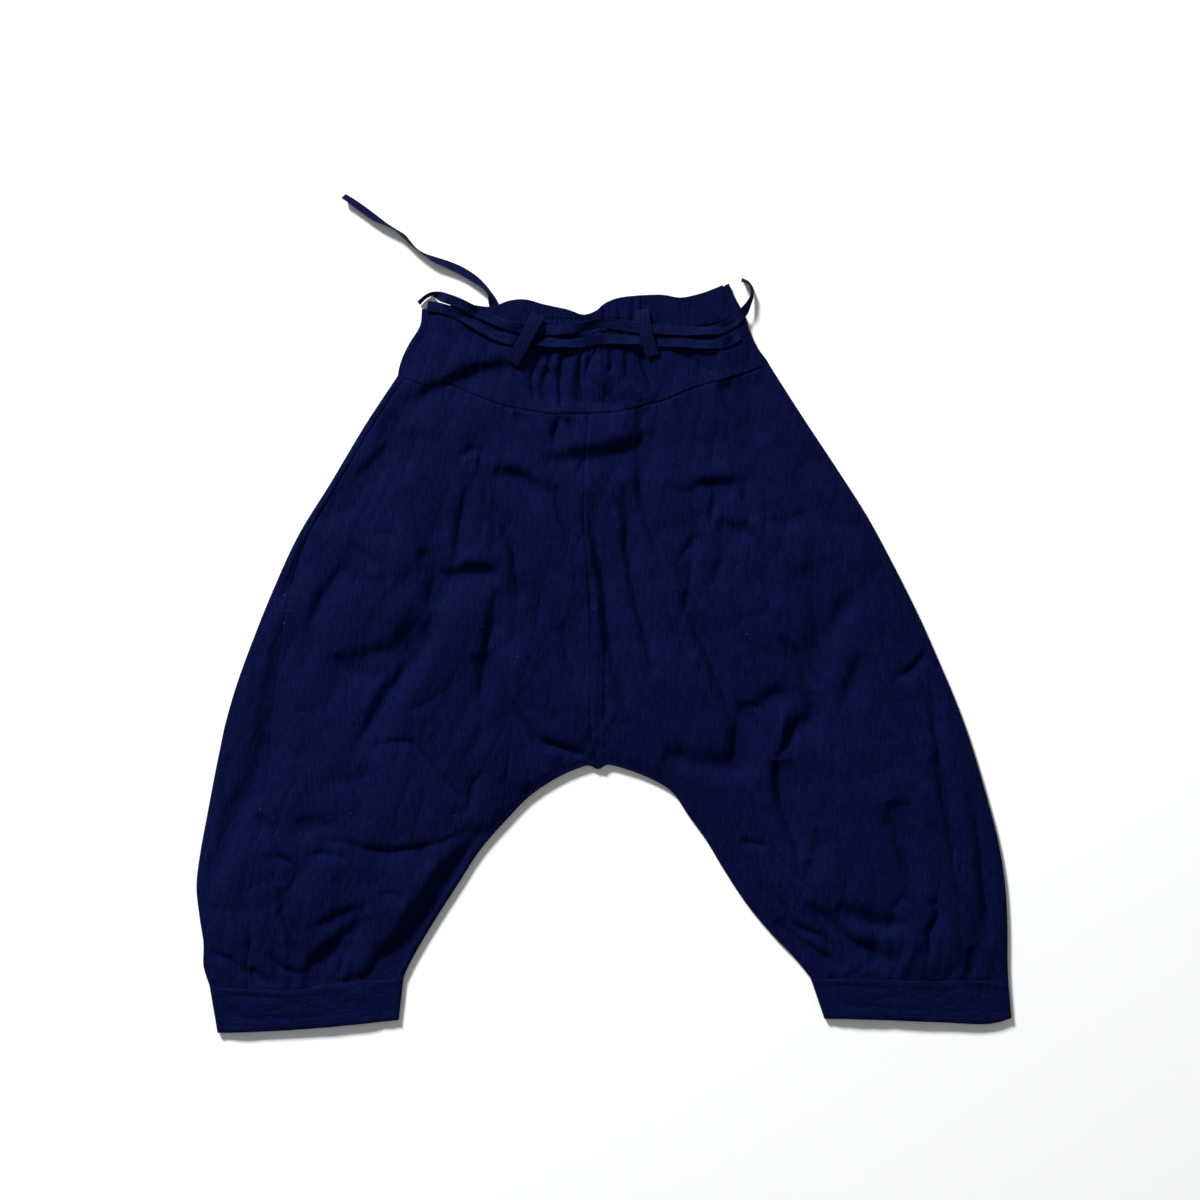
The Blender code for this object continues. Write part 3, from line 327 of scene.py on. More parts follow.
        (367, 747), (388, 743), (408, 741), (421, 752), (436, 770), (451, 787), (470, 798),
    )),
    Crease(-2.4, 4, 5, 0.6, ((487, 769), (473, 787), (470, 815))),
    Crease(-2.2, 6, 6, 0.3, ((498, 776), (512, 792), (508, 806))),
    # The gathers under the elastic, and the hollows between the two rows of the tie.
    Crease(-3.2, 3.5, 3, 0.8, ((539, 352), (532, 382), (538, 407))),
    Crease(-4.0, 8, 6, 0.4, ((547, 368), (545, 392), (547, 412))),
    Crease(-2.8, 3.5, 3, 0.8, ((552, 350), (548, 378), (548, 407))),
    Crease(-4.4, 5, 3, 0.7, ((566, 350), (561, 368), (561, 411))),
    Crease(-3.4, 4, 3, 0.8, ((582, 350), (580, 382), (588, 404))),
    Crease(-3.2, 4, 3, 0.8, ((598, 350), (589, 364), (585, 385))),
    Crease(-3.2, 3.5, 2.5, 0.8, ((608, 348), (612, 364), (608, 375))),
    Crease(-3.8, 4, 3, 0.8, ((625, 348), (628, 375), (641, 391))),
    Crease(-3.8, 4, 3, 0.8, ((635, 343), (645, 371), (653, 392))),
    Crease(2.2, 4, 4, 0.3, ((572, 356), (571, 380), (573, 402))),
    Crease(1.6, 6, 5, 0.0, ((601, 356), (601, 376), (605, 398))),
    Crease(-2.2, 3.5, 3, 0.8, ((589, 378), (606, 397), (619, 412))),
    Crease(-4.2, 5, 4, 0.6, ((560, 417), (555, 438), (558, 451))),
    Crease(-3.0, 4, 4, 0.6, ((568, 418), (576, 440))),
    Crease(-2.2, 4, 4, 0.4, ((514, 414), (530, 429))),
    Crease(-4.2, 4, 4, 0.1, ((550, 333), (575, 336), (596, 328), (612, 327), (632, 332))),
    Crease(-4.2, 4, 4, 0.1, ((657, 334), (677, 338), (700, 333), (723, 327), (740, 320))),
]
CREASE_STEPS = 4

LOWER_TIE = [
    Point(-176, 306), Point(-164, 304), Point(-149, 299), Point(-134, 291), Point(-119, 282),
    Point(-104, 275), Point(-92, 271.5), Point(-74, 270), Point(-54, 269), Point(-34, 268),
    Point(-16, 270), Point(0, 272.5), Point(16, 272), Point(34, 271), Point(52, 270), Point(70, 269.5),
    Point(90, 268), Point(108, 267.5), Point(124, 270), Point(134, 277),
]
UPPER_TIE = [
    Point(-158, 313), Point(-148, 309.5), Point(-138, 305), Point(-124, 298), Point(-104, 289.5),
    Point(-90, 284.5), Point(-74, 282), Point(-54, 281.5), Point(-36, 282.5), Point(-18, 285.5),
    Point(-2, 288.5), Point(14, 286.5), Point(34, 283.5), Point(52, 282.5), Point(70, 281),
    Point(90, 280.5), Point(108, 281.5), Point(122, 285), Point(132, 292),
]
LEFT_BEND = [Bend(-169, 319, 0.4, 74), Bend(-177, 316, 0.4, 80), Bend(-185, 309, 0.4, 76)]
RIGHT_BEND = [
    Bend(138.5, 299, 6.8, 18), Bend(143.5, 307, 4.5, 55), Bend(147.5, 316, 1.0, 70),
    Bend(147.5, 324, 0.4, 72), Bend(143, 330.5, 0.4, 70), Bend(135, 332.5, 0.5, 55),
]
LOOSE_END = [
    Bend(-107, 296, 2.2, 0), Bend(-109, 303, 2.2, 4), Bend(-111, 311, 1.9, 30), Bend(-114, 319, 0.3, 66),
    Bend(-120, 326, 0.3, 60), Bend(-130, 334, 0.3, 40), Bend(-142, 341.5, 0.3, 34),
    Bend(-155, 347.5, 0.3, 40), Bend(-168, 352.5, 0.3, 52), Bend(-180, 358.5, 0.3, 78),
    Bend(-188, 364, 0.3, 84), Bend(-194, 370, 0.3, 76), Bend(-200, 376.5, 0.3, 70),
    Bend(-208, 382.5, 0.3, 80), Bend(-217, 387.5, 0.3, 72), Bend(-228, 394, 0.3, 50),
    Bend(-240, 402.5, 0.3, 44), Bend(-251, 410.5, 0.3, 48), Bend(-260, 416.1, 0.3, 52),
]
LEFT_LOOP = [Point(-65, 297), Point(-77, 273), Point(-91, 249)]
RIGHT_LOOP = [Point(37, 302), Point(42, 278), Point(48, 256)]


def between_rows(values: Array, row: Array) -> Array:
    """Reads a smooth curve through a table's column.

    Args:
        values: the column.
        row: row numbers, which may lie between rows.

    Returns:
        The curve's values at those rows.
    """
    values = np.asarray(values, float)
    row = np.clip(np.asarray(row, float), 0, len(values) - 1)
    first = np.minimum(row.astype(int), len(values) - 2)
    t = row - first
    before, start = values[np.maximum(first - 1, 0)], values[first]
    end, after = values[first + 1], values[np.minimum(first + 2, len(values) - 1)]
    cubic = 3 * (start - end) + after - before
    square = 2 * before - 5 * start + 4 * end - after
    return start + 0.5 * t * ((end - before) + t * (square + t * cubic))


def column(table: list, name: str) -> Array:
    """One named column of a table, in metres."""
    return np.array([getattr(row, name) for row in table]) * MM


def smoothstep(t: Array) -> Array:
    """A smooth ramp from 0 to 1."""
    t = np.clip(t, 0, 1)
    return t * t * (3 - 2 * t)


def bell(distance: Array, width: float) -> Array:
    """A soft ridge of height 1 round distance 0."""
    return np.exp(-((distance / width) ** 2))


def run_along(points: Array) -> Array:
    """How far each point lies along its line."""
    return np.concatenate([[0], np.cumsum(np.linalg.norm(np.diff(points, axis=0), axis=1))])


def pressed_under(distance: Array, fade: float) -> Array:
    """A low step, 0 to 1, over the allowance that is pressed under one side of a seam."""
    return smoothstep(distance / (1.5 * MM)) * smoothstep((ALLOWANCE - distance) / fade)


def edge_points(table: list, steps_a_row: int = 8) -> Array:
    """A table of points as a smooth line of many, in metres."""
    rows = np.linspace(0, len(table) - 1, (len(table) - 1) * steps_a_row + 1)
    return np.stack([between_rows(column(table, n), rows) for n in ("x", "y")], axis=1)


def outer_end(leg: list, row: Array) -> Array:
    """Where a leg's sections meet its outer edge."""
    return np.stack([between_rows(column(leg, n), row) for n in ("outer_x", "outer_y")], axis=-1)


def inner_end(leg: list, row: Array) -> Array:
    """Where a leg's sections meet the centre seam or, below the crotch, the inside of the leg.

    Args:
        leg: the leg's sections.
        row: row numbers down the leg.

    Returns:
        Points of the plan, in metres.
    """
    row = np.asarray(row, float)
    found = []
    for name in ("inner_x", "inner_y"):
        values = column(leg, name)
        above = between_rows(values[: CROTCH_ROW + 1], row)
        below = between_rows(values[CROTCH_ROW:], row - CROTCH_ROW)
        found.append(np.where(row <= CROTCH_ROW, above, below))
    return np.stack(found, axis=-1)


def cuff_line(x: Array, side: Side) -> Array:
    """The y of a cuff's seam at each x.

    Args:
        x: places across the garment.
        side: the leg that the cuff is on.

    Returns:
        The seam's y at each, in metres.
    """
    points = edge_points(CUFF_SEAM[side])
    order = np.argsort(points[:, 0])
    return np.interp(x, points[order, 0], points[order, 1])


def yoke_line(x: Array) -> Array:
    """The y of the yoke's seam at each x."""
    points = edge_points(YOKE_SEAM)
    return np.interp(x, points[:, 0], points[:, 1])


def nearest_on_lines(x: Array, y: Array, lines: list[Array]) -> Array:
    """Measures how near points are to lines.

    Args:
        x: the points' x.
        y: the points' y.
        lines: lines of points.

    Returns:
        The distance from each point to the nearest line.
    """
    starts = np.concatenate([line[:-1] for line in lines])
    along = np.concatenate([line[1:] for line in lines]) - starts
    squares = np.maximum((along**2).sum(axis=1), 1e-18)
    px, py = x.ravel(), y.ravel()
    best = np.full(px.shape, np.inf)
    for (ax, ay), (dx, dy), square in zip(starts, along, squares, strict=True):
        t = np.clip(((px - ax) * dx + (py - ay) * dy) / square, 0, 1)
        best = np.minimum(best, (px - ax - t * dx) ** 2 + (py - ay - t * dy) ** 2)
    return np.sqrt(best).reshape(x.shape)


def lattice(ix: Array, iy: Array, seed: int) -> Array:
    """A number from 0 to 1 for each whole-numbered place, always the same for one seed.

    Args:
        ix: whole numbers across.
        iy: whole numbers down.
        seed: picks one pattern.

    Returns:
        One number for each place.
    """
    mixed = (ix.astype(np.int64) * 73856093) ^ (iy.astype(np.int64) * 19349663) ^ (seed * 83492791)
    mixed = (mixed ^ (mixed >> 13)) * 1274126177
    return ((mixed ^ (mixed >> 16)) & 0xFFFF) / 65535.0


def ripple(x: Array, y: Array, width: float, length: float, seed: int) -> Array:
    """Smooth uneven waves from -1 to 1.

    Args:
        x: places across the waves.
        y: places along them.
        width: the usual width of a wave.
        length: its usual length.
        seed: picks one pattern.

    Returns:
        The waves' height at each place.
    """
    u, v = x / width, y / length
    iu, iv = np.floor(u), np.floor(v)
    fu, fv = smoothstep(u - iu), smoothstep(v - iv)
    low = lattice(iu, iv, seed) * (1 - fu) + lattice(iu + 1, iv, seed) * fu
    high = lattice(iu, iv + 1, seed) * (1 - fu) + lattice(iu + 1, iv + 1, seed) * fu
    return 2 * (low * (1 - fv) + high * fv) - 1


@dataclass
class Drape:
    """The height of the garment's top over its plan: crown, creases, gathers and crinkles."""

    edge_rise: float = 28 * MM
    fold_fade: float = 10 * MM
    gather_left: float = ELASTIC_ENDS[0]
    gather_right: float = ELASTIC_ENDS[1]
    gather_middle: float = -14
    gather_wave: float = 2.9
    gather_height: float = 1.5 * MM
    elastic_top: float = ELASTIC_LINES[0]
    elastic_bottom: float = ELASTIC_LINES[1]
    gather_fan: float = 0.0042
    cuff_wave: float = 19
    cuff_gather_height: float = 1.6 * MM
    cuff_gather_length: float = 44
    crinkle_height: float = 1.7 * MM
    crease_scale: float = 1.4
    soft_side: float = 1.35
    sides: list[Array] = field(default_factory=list)

    def __post_init__(self) -> None:
        """Collects the lines that the garment's sides follow."""
        rows = np.linspace(0, len(LEFT_LEG) - 1, 97)
        below = np.linspace(CROTCH_ROW, len(LEFT_LEG) - 1, 55)
        self.sides = [edge_points(LEFT_WAIST_SIDE, 4), edge_points(RIGHT_WAIST_SIDE, 4)]
        for side, leg in LEGS.items():
            self.sides += [outer_end(leg, rows), inner_end(leg, below)]
            for end in (0, -1):
                ends = (CUFF_SEAM[side][end], CUFF_HEM[side][end])
                self.sides.append(np.array([[p.x, p.y] for p in ends]) * MM)

    def crease(self, x: Array, y: Array, one: Crease) -> Array:
        """The height that one crease adds at each point.

        Args:
            x: the points' x.
            y: the points' y.
            one: the crease.

        Returns:
            Heights in metres, below zero in a trough.
        """
        places = np.array(one.places, float)
        rows = np.linspace(0, len(places) - 1, (len(places) - 1) * CREASE_STEPS + 1)
        across, down = (between_rows(places[:, c], rows) for c in range(2))
        line = np.stack([across - SHEET_CENTRE.x, SHEET_CENTRE.y - down], axis=1) * MM
        steps = np.linalg.norm(np.diff(line, axis=0), axis=1)
        run = np.concatenate([[0], np.cumsum(steps)]) / steps.sum()
        reaches = [
            r * (self.soft_side if r >= max(one.reach_left, one.reach_right) and r > 7 else 1.0) * MM
            for r in (one.reach_left, one.reach_right)
        ]
        reach = 3.0 * max(reaches)
        low, high = line.min(axis=0) - reach, line.max(axis=0) + reach
        near = (x > low[0]) & (x < high[0]) & (y > low[1]) & (y < high[1])
        made = np.zeros(x.shape)
        if not near.any():
            return made
        px, py = x[near], y[near]
        best = np.full(px.shape, np.inf)
        turn, place = np.zeros(px.shape), np.zeros(px.shape)
        for step in range(len(steps)):
            ax, ay = line[step]
            bx, by = line[step + 1] - line[step]
            share = np.clip(((px - ax) * bx + (py - ay) * by) / (bx**2 + by**2), 0, 1)
            dx, dy = px - ax - share * bx, py - ay - share * by
            distance = np.hypot(dx, dy)
            nearer = distance < best
            best = np.where(nearer, distance, best)
            turn = np.where(nearer, (bx * dy - by * dx) / steps[step], turn)
            place = np.where(nearer, run[step] + share * steps[step] / steps.sum(), place)
        left = 0.5 + 0.5 * np.tanh(turn / (0.8 * MM))
        width = reaches[1] + (reaches[0] - reaches[1]) * left
        taper = np.clip(4 * place * (1 - place), 0, 1) ** 0.8
        power = 1.9 - 0.7 * one.crisp
        made[near] = self.crease_scale * one.height * MM * taper * np.exp(-((best / width) ** power))
        return made

    def waist_gathers(self, x: Array, y: Array) -> Array:
        """The ruched elastic, the frill above it and the small folds that spread out below it.

        Args:
            x: the points' x.
            y: the points' y.

        Returns:
            Heights in metres, below zero in a trough.
        """
        drop = np.maximum(self.elastic_bottom - y / MM, 0)
        spread = self.gather_middle + (x / MM - self.gather_middle) / (1 + self.gather_fan * drop)
        inside = smoothstep((spread - self.gather_left) / 12) * smoothstep((self.gather_right - spread) / 12)
        tight = ripple(spread, y / MM, self.gather_wave, 34, 3)
        tight += 0.5 * ripple(spread, y / MM, 1.9 * self.gather_wave, 50, 4)
        wide = ripple(spread, drop, 3.1 * self.gather_wave, 70, 6)
        below = smoothstep((self.elastic_top + 12 - y / MM) / 14) * np.exp(-((drop / 15) ** 1.3))
        frill = bell(y / MM - 306, 10) * 0.7
        fan = 0.6 * np.exp(-((drop / 46) ** 2)) * smoothstep(drop / 10)
        return self.gather_height * inside * ((below + frill) * tight + fan * wide)

    def cuff_gathers(self, x: Array, y: Array) -> Array:
        """The small folds that rise from a cuff's seam.

        Args:
            x: the points' x.
            y: the points' y.

        Returns:
            Heights in metres, below zero in a trough.
        """
        left = x < 0
        seam = np.where(left, cuff_line(x, Side.LEFT), cuff_line(x, Side.RIGHT))
        above = np.maximum(y - seam, 0) / MM
        middle = np.where(left, -297.0, 305.0)
        spread = (x / MM - middle) / (1 + 0.0035 * above)
        phase = 2 * math.pi * spread / self.cuff_wave
        wave = np.cos(phase + 0.9 * np.sin(phase * 0.37 + 2) + np.where(left, 0.4, 1.7))
        uneven = 0.8 + 0.5 * ripple(spread, above, 17, 50, 5)
        fade = np.exp(-((above / self.cuff_gather_length / uneven) ** 1.5))
        return self.cuff_gather_height * fade * smoothstep((y - seam) / (7 * MM) + 0.25) * wave * uneven

    def crinkle(self, x: Array, y: Array) -> Array:
        """The uneven crinkles of washed cotton, longer down the leg than across it.

        Args:
            x: the points' x.
            y: the points' y.

        Returns:
            Heights in metres, below zero in a trough.
        """
        tilt = np.where(x < 0, 0.22, -0.26) * smoothstep((0.10 - y) / 0.3)
        across = x + tilt * (0.10 - y) + 6 * MM * ripple(x, y, 60 * MM, 60 * MM, 16)
        waves = 0.7 * np.abs(ripple(across, y, 24 * MM, 70 * MM, 11)) ** 0.8
        waves += 1.6 * np.abs(ripple(across + 0.45 * y, y, 46 * MM, 60 * MM, 12)) ** 0.8
        waves += 1.2 * np.abs(ripple(across - 0.5 * y, y, 38 * MM, 66 * MM, 17)) ** 0.8
        waves += 0.9 * ripple(across, y, 40 * MM, 90 * MM, 18)
        waves += 0.14 * ripple(across, y, 6 * MM, 30 * MM, 13)
        waves -= 1.4
        return self.crinkle_height * waves

    def height(self, x: Array, y: Array) -> Array:
        """The height of the garment's top at points of its plan.

        Args:
            x: the points' x.
            y: the points' y.

        Returns:
            The height at each point, in metres.
        """
        inwards = np.maximum(nearest_on_lines(x, y, self.sides) - EDGE_RADIUS, 0)
        rise = np.interp(y, column(CROWN, "y"), column(CROWN, "rise"))
        rise = rise * (1 - np.exp(-inwards / self.edge_rise))
        folds = self.waist_gathers(x, y) + self.cuff_gathers(x, y)
        for one in CREASES:
            folds += self.crease(x, y, one)
        seam = np.where(x < 0, cuff_line(x, Side.LEFT), cuff_line(x, Side.RIGHT))
        on_cuff = smoothstep((seam - y) / (3 * MM))
        folds += self.crinkle(x, y) * (1 - 0.6 * on_cuff)
        total = EDGE_TOP + rise + folds * smoothstep(inwards / self.fold_fade)
        shallow = LOWEST_TOP + 1.6 * MM
        depth = shallow - LOWEST_TOP
        sunk = np.maximum(shallow - total, 0)
        return np.where(total < shallow, shallow - depth * np.tanh(sunk / depth), total)


@dataclass(frozen=True)
class CottonFinish:
    """Plain-woven cotton: slubs along the warp, a fine weave, crinkles and a few specks of lint."""

    name: str
    colour: tuple[float, float, float]
    slub_colour: tuple[float, float, float]
    thread_pitch: float = 0.55 * MM
    roughness: float = 0.86
    sheen: float = 0.005
    crumple: float = 1.0 * MM
    lint: bool = True

    def make(self) -> bpy.types.Material:
        """Builds the material.

        Returns:
            The material, which reads each piece's own map of its grain, in metres.
        """
        made = bpy.data.materials.new(self.name)
        made.use_nodes = True
        nodes, links = made.node_tree.nodes, made.node_tree.links
        shader = nodes["Principled BSDF"]
        shader.inputs["Roughness"].default_value = self.roughness
        shader.inputs["Specular IOR Level"].default_value = 0.03
        shader.inputs["Sheen Weight"].default_value = self.sheen
        shader.inputs["Sheen Roughness"].default_value = 0.5
        shader.inputs["Sheen Tint"].default_value = (0.5, 0.55, 0.8, 1)
        grain = nodes.new("ShaderNodeUVMap")
        grain.uv_map = "grain"

        def noise(scale: tuple[float, float, float], detail: float, rough: float) -> bpy.types.NodeSocket:
            """A noise stretched along the grain, with scale in steps a metre.

            Args:
                scale: steps a metre across the grain, along it and through it.
                detail: how many finer layers.
                rough: how strong the finer layers are.

            Returns:
                The noise's value.
            """
            mapping = nodes.new("ShaderNodeMapping")
            mapping.inputs["Scale"].default_value = scale
            links.new(grain.outputs["UV"], mapping.inputs["Vector"])
            texture = nodes.new("ShaderNodeTexNoise")
            texture.inputs["Scale"].default_value = 1
            texture.inputs["Detail"].default_value = detail
            texture.inputs["Roughness"].default_value = rough
            links.new(mapping.outputs["Vector"], texture.inputs["Vector"])
            return texture.outputs["Fac"]

        def ramp(value: bpy.types.NodeSocket, low: float, high: float) -> bpy.types.NodeSocket:
            """Stretches the values from low to high over 0 to 1.

            Args:
                value: the value to stretch.
                low: what becomes 0.
                high: what becomes 1.

            Returns:
                The stretched value.
            """
            node = nodes.new("ShaderNodeMapRange")
            node.inputs["From Min"].default_value = low
            node.inputs["From Max"].default_value = high
            links.new(value, node.inputs["Value"])
            return node.outputs["Result"]

        def blend(share: bpy.types.NodeSocket, base: object, top: tuple) -> bpy.types.NodeSocket:
            """Mixes a colour over another by a share.

            Args:
                share: how much of the upper colour shows.
                base: the lower colour, or the socket that gives it.
                top: the upper colour.

            Returns:
                The mixed colour.
            """
            node = nodes.new("ShaderNodeMix")
            node.data_type = "RGBA"
            links.new(share, node.inputs["Factor"])
            if isinstance(base, tuple):
                node.inputs["A"].default_value = (*base, 1)
            else:
                links.new(base, node.inputs["A"])
            node.inputs["B"].default_value = (*top, 1)
            return node.outputs["Result"]

        def add(
            first: bpy.types.NodeSocket, second: bpy.types.NodeSocket, share: float
        ) -> bpy.types.NodeSocket:
            """The first value plus a share of the second.

            Args:
                first: the value that is kept whole.
                second: the value that is added.
                share: how much of it is added.

            Returns:
                The sum.
            """
            node = nodes.new("ShaderNodeMath")
            node.operation = "MULTIPLY_ADD"
            links.new(second, node.inputs[0])
            node.inputs[1].default_value = share
            links.new(first, node.inputs[2])
            return node.outputs[0]

        warp = noise((700, 80, 1), 3, 0.7)
        weft = noise((90, 800, 1), 2, 0.6)
        slubs = ramp(add(warp, weft, 0.35), 0.50, 0.86)
        colour = blend(slubs, self.colour, self.slub_colour)
        colour = blend(ramp(noise((11, 8, 1), 4, 0.6), 0.3, 1.3), colour, self.colour)
        specks = ramp(noise((560, 480, 1), 1, 0.4), 0.82, 0.86 if self.lint else 2.0)
        colour = blend(specks, colour, (0.12, 0.14, 0.22))
        links.new(colour, shader.inputs["Base Color"])

        threads = []
        for direction in ("X", "Y"):
            wave = nodes.new("ShaderNodeTexWave")
            wave.bands_direction = direction
            wave.inputs["Scale"].default_value = 0.314 / self.thread_pitch
            wave.inputs["Distortion"].default_value = 1.2
            wave.inputs["Detail"].default_value = 1
            wave.inputs["Detail Scale"].default_value = 0.5
            links.new(grain.outputs["UV"], wave.inputs["Vector"])
            threads.append(wave.outputs["Fac"])
        weave = add(threads[0], threads[1], 1.0)
        relief = add(add(warp, weft, 0.6), weave, 0.12)
        bump = nodes.new("ShaderNodeBump")
        bump.inputs["Strength"].default_value = 1.0
        bump.inputs["Distance"].default_value = 0.25 * MM
        links.new(relief, bump.inputs["Height"])
        crumple = nodes.new("ShaderNodeBump")
        crumple.inputs["Strength"].default_value = 1.0
        crumple.inputs["Distance"].default_value = self.crumple
        ridges = noise((46, 15, 1), 2, 0.5)
        ridges.node.noise_type = "RIDGED_MULTIFRACTAL"
        ridges.node.inputs["Offset"].default_value = 1.0
        links.new(add(noise((120, 24, 1), 4, 0.6), ridges, -0.95), crumple.inputs["Height"])
        links.new(crumple.outputs["Normal"], bump.inputs["Normal"])
        links.new(bump.outputs["Normal"], shader.inputs["Normal"])
        return made


@dataclass(frozen=True)
class PlainFinish:
    """A thread or a floor: one colour, broken up a little."""

    name: str
    colour: tuple[float, float, float]
    roughness: float
    scale: float
    change: float

    def make(self) -> bpy.types.Material:
        """Builds the material, on object coordinates.

        Returns:
            The material.
        """
        made = bpy.data.materials.new(self.name)
        made.use_nodes = True
        nodes, links = made.node_tree.nodes, made.node_tree.links
        shader = nodes["Principled BSDF"]
        shader.inputs["Roughness"].default_value = self.roughness
        shader.inputs["Specular IOR Level"].default_value = 0.2
        place = nodes.new("ShaderNodeTexCoord")
        texture = nodes.new("ShaderNodeTexNoise")
        texture.inputs["Scale"].default_value = self.scale
        links.new(place.outputs["Object"], texture.inputs["Vector"])
        mix = nodes.new("ShaderNodeMix")
        mix.data_type = "RGBA"
        mix.inputs["A"].default_value = (*self.colour, 1)
        mix.inputs["B"].default_value = (*(c * (1 - self.change) for c in self.colour), 1)
        links.new(texture.outputs["Fac"], mix.inputs["Factor"])
        links.new(mix.outputs["Result"], shader.inputs["Base Color"])
        return made


@dataclass
class Wardrobe:
    """The finishes, made once and shared by the pieces."""

    cotton: bpy.types.Material
    tape: bpy.types.Material
    thread: bpy.types.Material

    @classmethod
    def make(cls) -> "Wardrobe":
        """Builds each finish.

        Returns:
            The finishes.
        """
        return cls(
            cotton=CottonFinish("navy_cotton", (0.0006, 0.0014, 0.0164), (0.0031, 0.0057, 0.0495)).make(),
            # A lighter copy of the cotton, worn by the tie and also by the belt loops. The loops are the
            # same cloth as the yoke, so on them the extra lightness is painted light: a painted highlight
            # where they catch more light than the yoke.
            tape=CottonFinish(
                "navy_tape_lighter_and_loop_highlight", (0.0015, 0.0027, 0.0225), (0.0040, 0.0066, 0.0450), lint=False
            ).make(),
            thread=PlainFinish("navy_thread", (0.0030, 0.0046, 0.026), 0.7, 900, 0.3).make(),
        )


def sew(
    piece: bpy.types.Object, material: bpy.types.Material, nodes: tuple[str, ...] = ()
) -> bpy.types.Object:
    """Gives a piece its finish and its place in the part.

    Args:
        piece: the finished mesh.
        material: its finish.
        nodes: the solids that it stands for.

    Returns:
        The piece.
    """
    piece.data.materials.clear()
    piece.data.materials.append(material)
    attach(piece, "root")
    if nodes:
        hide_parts(*nodes)
    count = sum(len(face.vertices) - 2 for face in piece.data.polygons)
    log.info("%s: %d triangles", piece.name, count)
    return piece


def lay_grid(name: str, points: Array, grain: Array) -> bpy.types.Object:
    """Lays a grid of faces over points, with a map of the grain.

    Args:
        name: the piece's name.
        points: rows by columns by three.
        grain: rows by columns by two, how far each lies across and along the grain, in metres.

    Returns:
        The grid, a single skin.
    """
    rows, columns = points.shape[:2]
    bpy.ops.object.select_all(action="DESELECT")
    bpy.ops.mesh.primitive_grid_add(x_subdivisions=columns - 1, y_subdivisions=rows - 1, size=2)
    piece = bpy.context.object
    piece.name = name
    mesh = piece.data
    flat = np.empty(len(mesh.vertices) * 3)
    mesh.vertices.foreach_get("co", flat)
    flat = flat.reshape(-1, 3)
    at_column = np.rint((flat[:, 0] + 1) / 2 * (columns - 1)).astype(int)
    at_row = np.rint((flat[:, 1] + 1) / 2 * (rows - 1)).astype(int)
    mesh.vertices.foreach_set("co", points[at_row, at_column].ravel())
    corner = np.empty(len(mesh.loops), dtype=int)
    mesh.loops.foreach_get("vertex_index", corner)
    layer = mesh.uv_layers[0] if mesh.uv_layers else mesh.uv_layers.new()
    layer.name = "grain"
    layer.data.foreach_set("uv", grain[at_row[corner], at_column[corner]].ravel())
    mesh.update()
    return piece


def add_cloth(
    name: str, points: Array, grain: Array, thickness: float, closed: bool = False
) -> bpy.types.Object:
    """Lays one sheet of cloth with a real thickness.

    Args:
        name: the piece's name.
        points: rows by columns by three, the outer face of the cloth.
        grain: the map of its grain, as for lay_grid.
        thickness: the cloth's thickness, inwards.
        closed: whether the last column is sewn back to the first.

    Returns:
        The sheet, its faces outwards.
    """
    piece = lay_grid(name, points, grain)
    mesh = piece.data
    normals = np.empty(len(mesh.polygons) * 3)
    centres = np.empty(len(mesh.polygons) * 3)
    mesh.polygons.foreach_get("normal", normals)
    mesh.polygons.foreach_get("center", centres)
    normals, centres = normals.reshape(-1, 3), centres.reshape(-1, 3)
    highest = centres[:, 2] > np.quantile(centres[:, 2], 0.8)
    if normals[highest, 2].mean() < 0:
        mesh.flip_normals()
    if closed:
        bpy.ops.object.mode_set(mode="EDIT")
        bpy.ops.mesh.select_all(action="SELECT")
        bpy.ops.mesh.remove_doubles(threshold=0.00001)
        bpy.ops.object.mode_set(mode="OBJECT")
    wall = piece.modifiers.new("thickness", "SOLIDIFY")
    wall.thickness = thickness
    wall.offset = -1
    bpy.ops.object.modifier_apply(modifier=wall.name)
    bpy.ops.object.shade_smooth_by_angle(angle=math.radians(50))
    return piece


def planar_grain(x: Array, y: Array, tilt: float) -> Array:
    """A map of the grain that turns by tilt degrees from straight up."""
    c, s = math.cos(math.radians(tilt)), math.sin(math.radians(tilt))
    return np.stack([x * c - y * s + 1, x * s + y * c + 1], axis=-1)


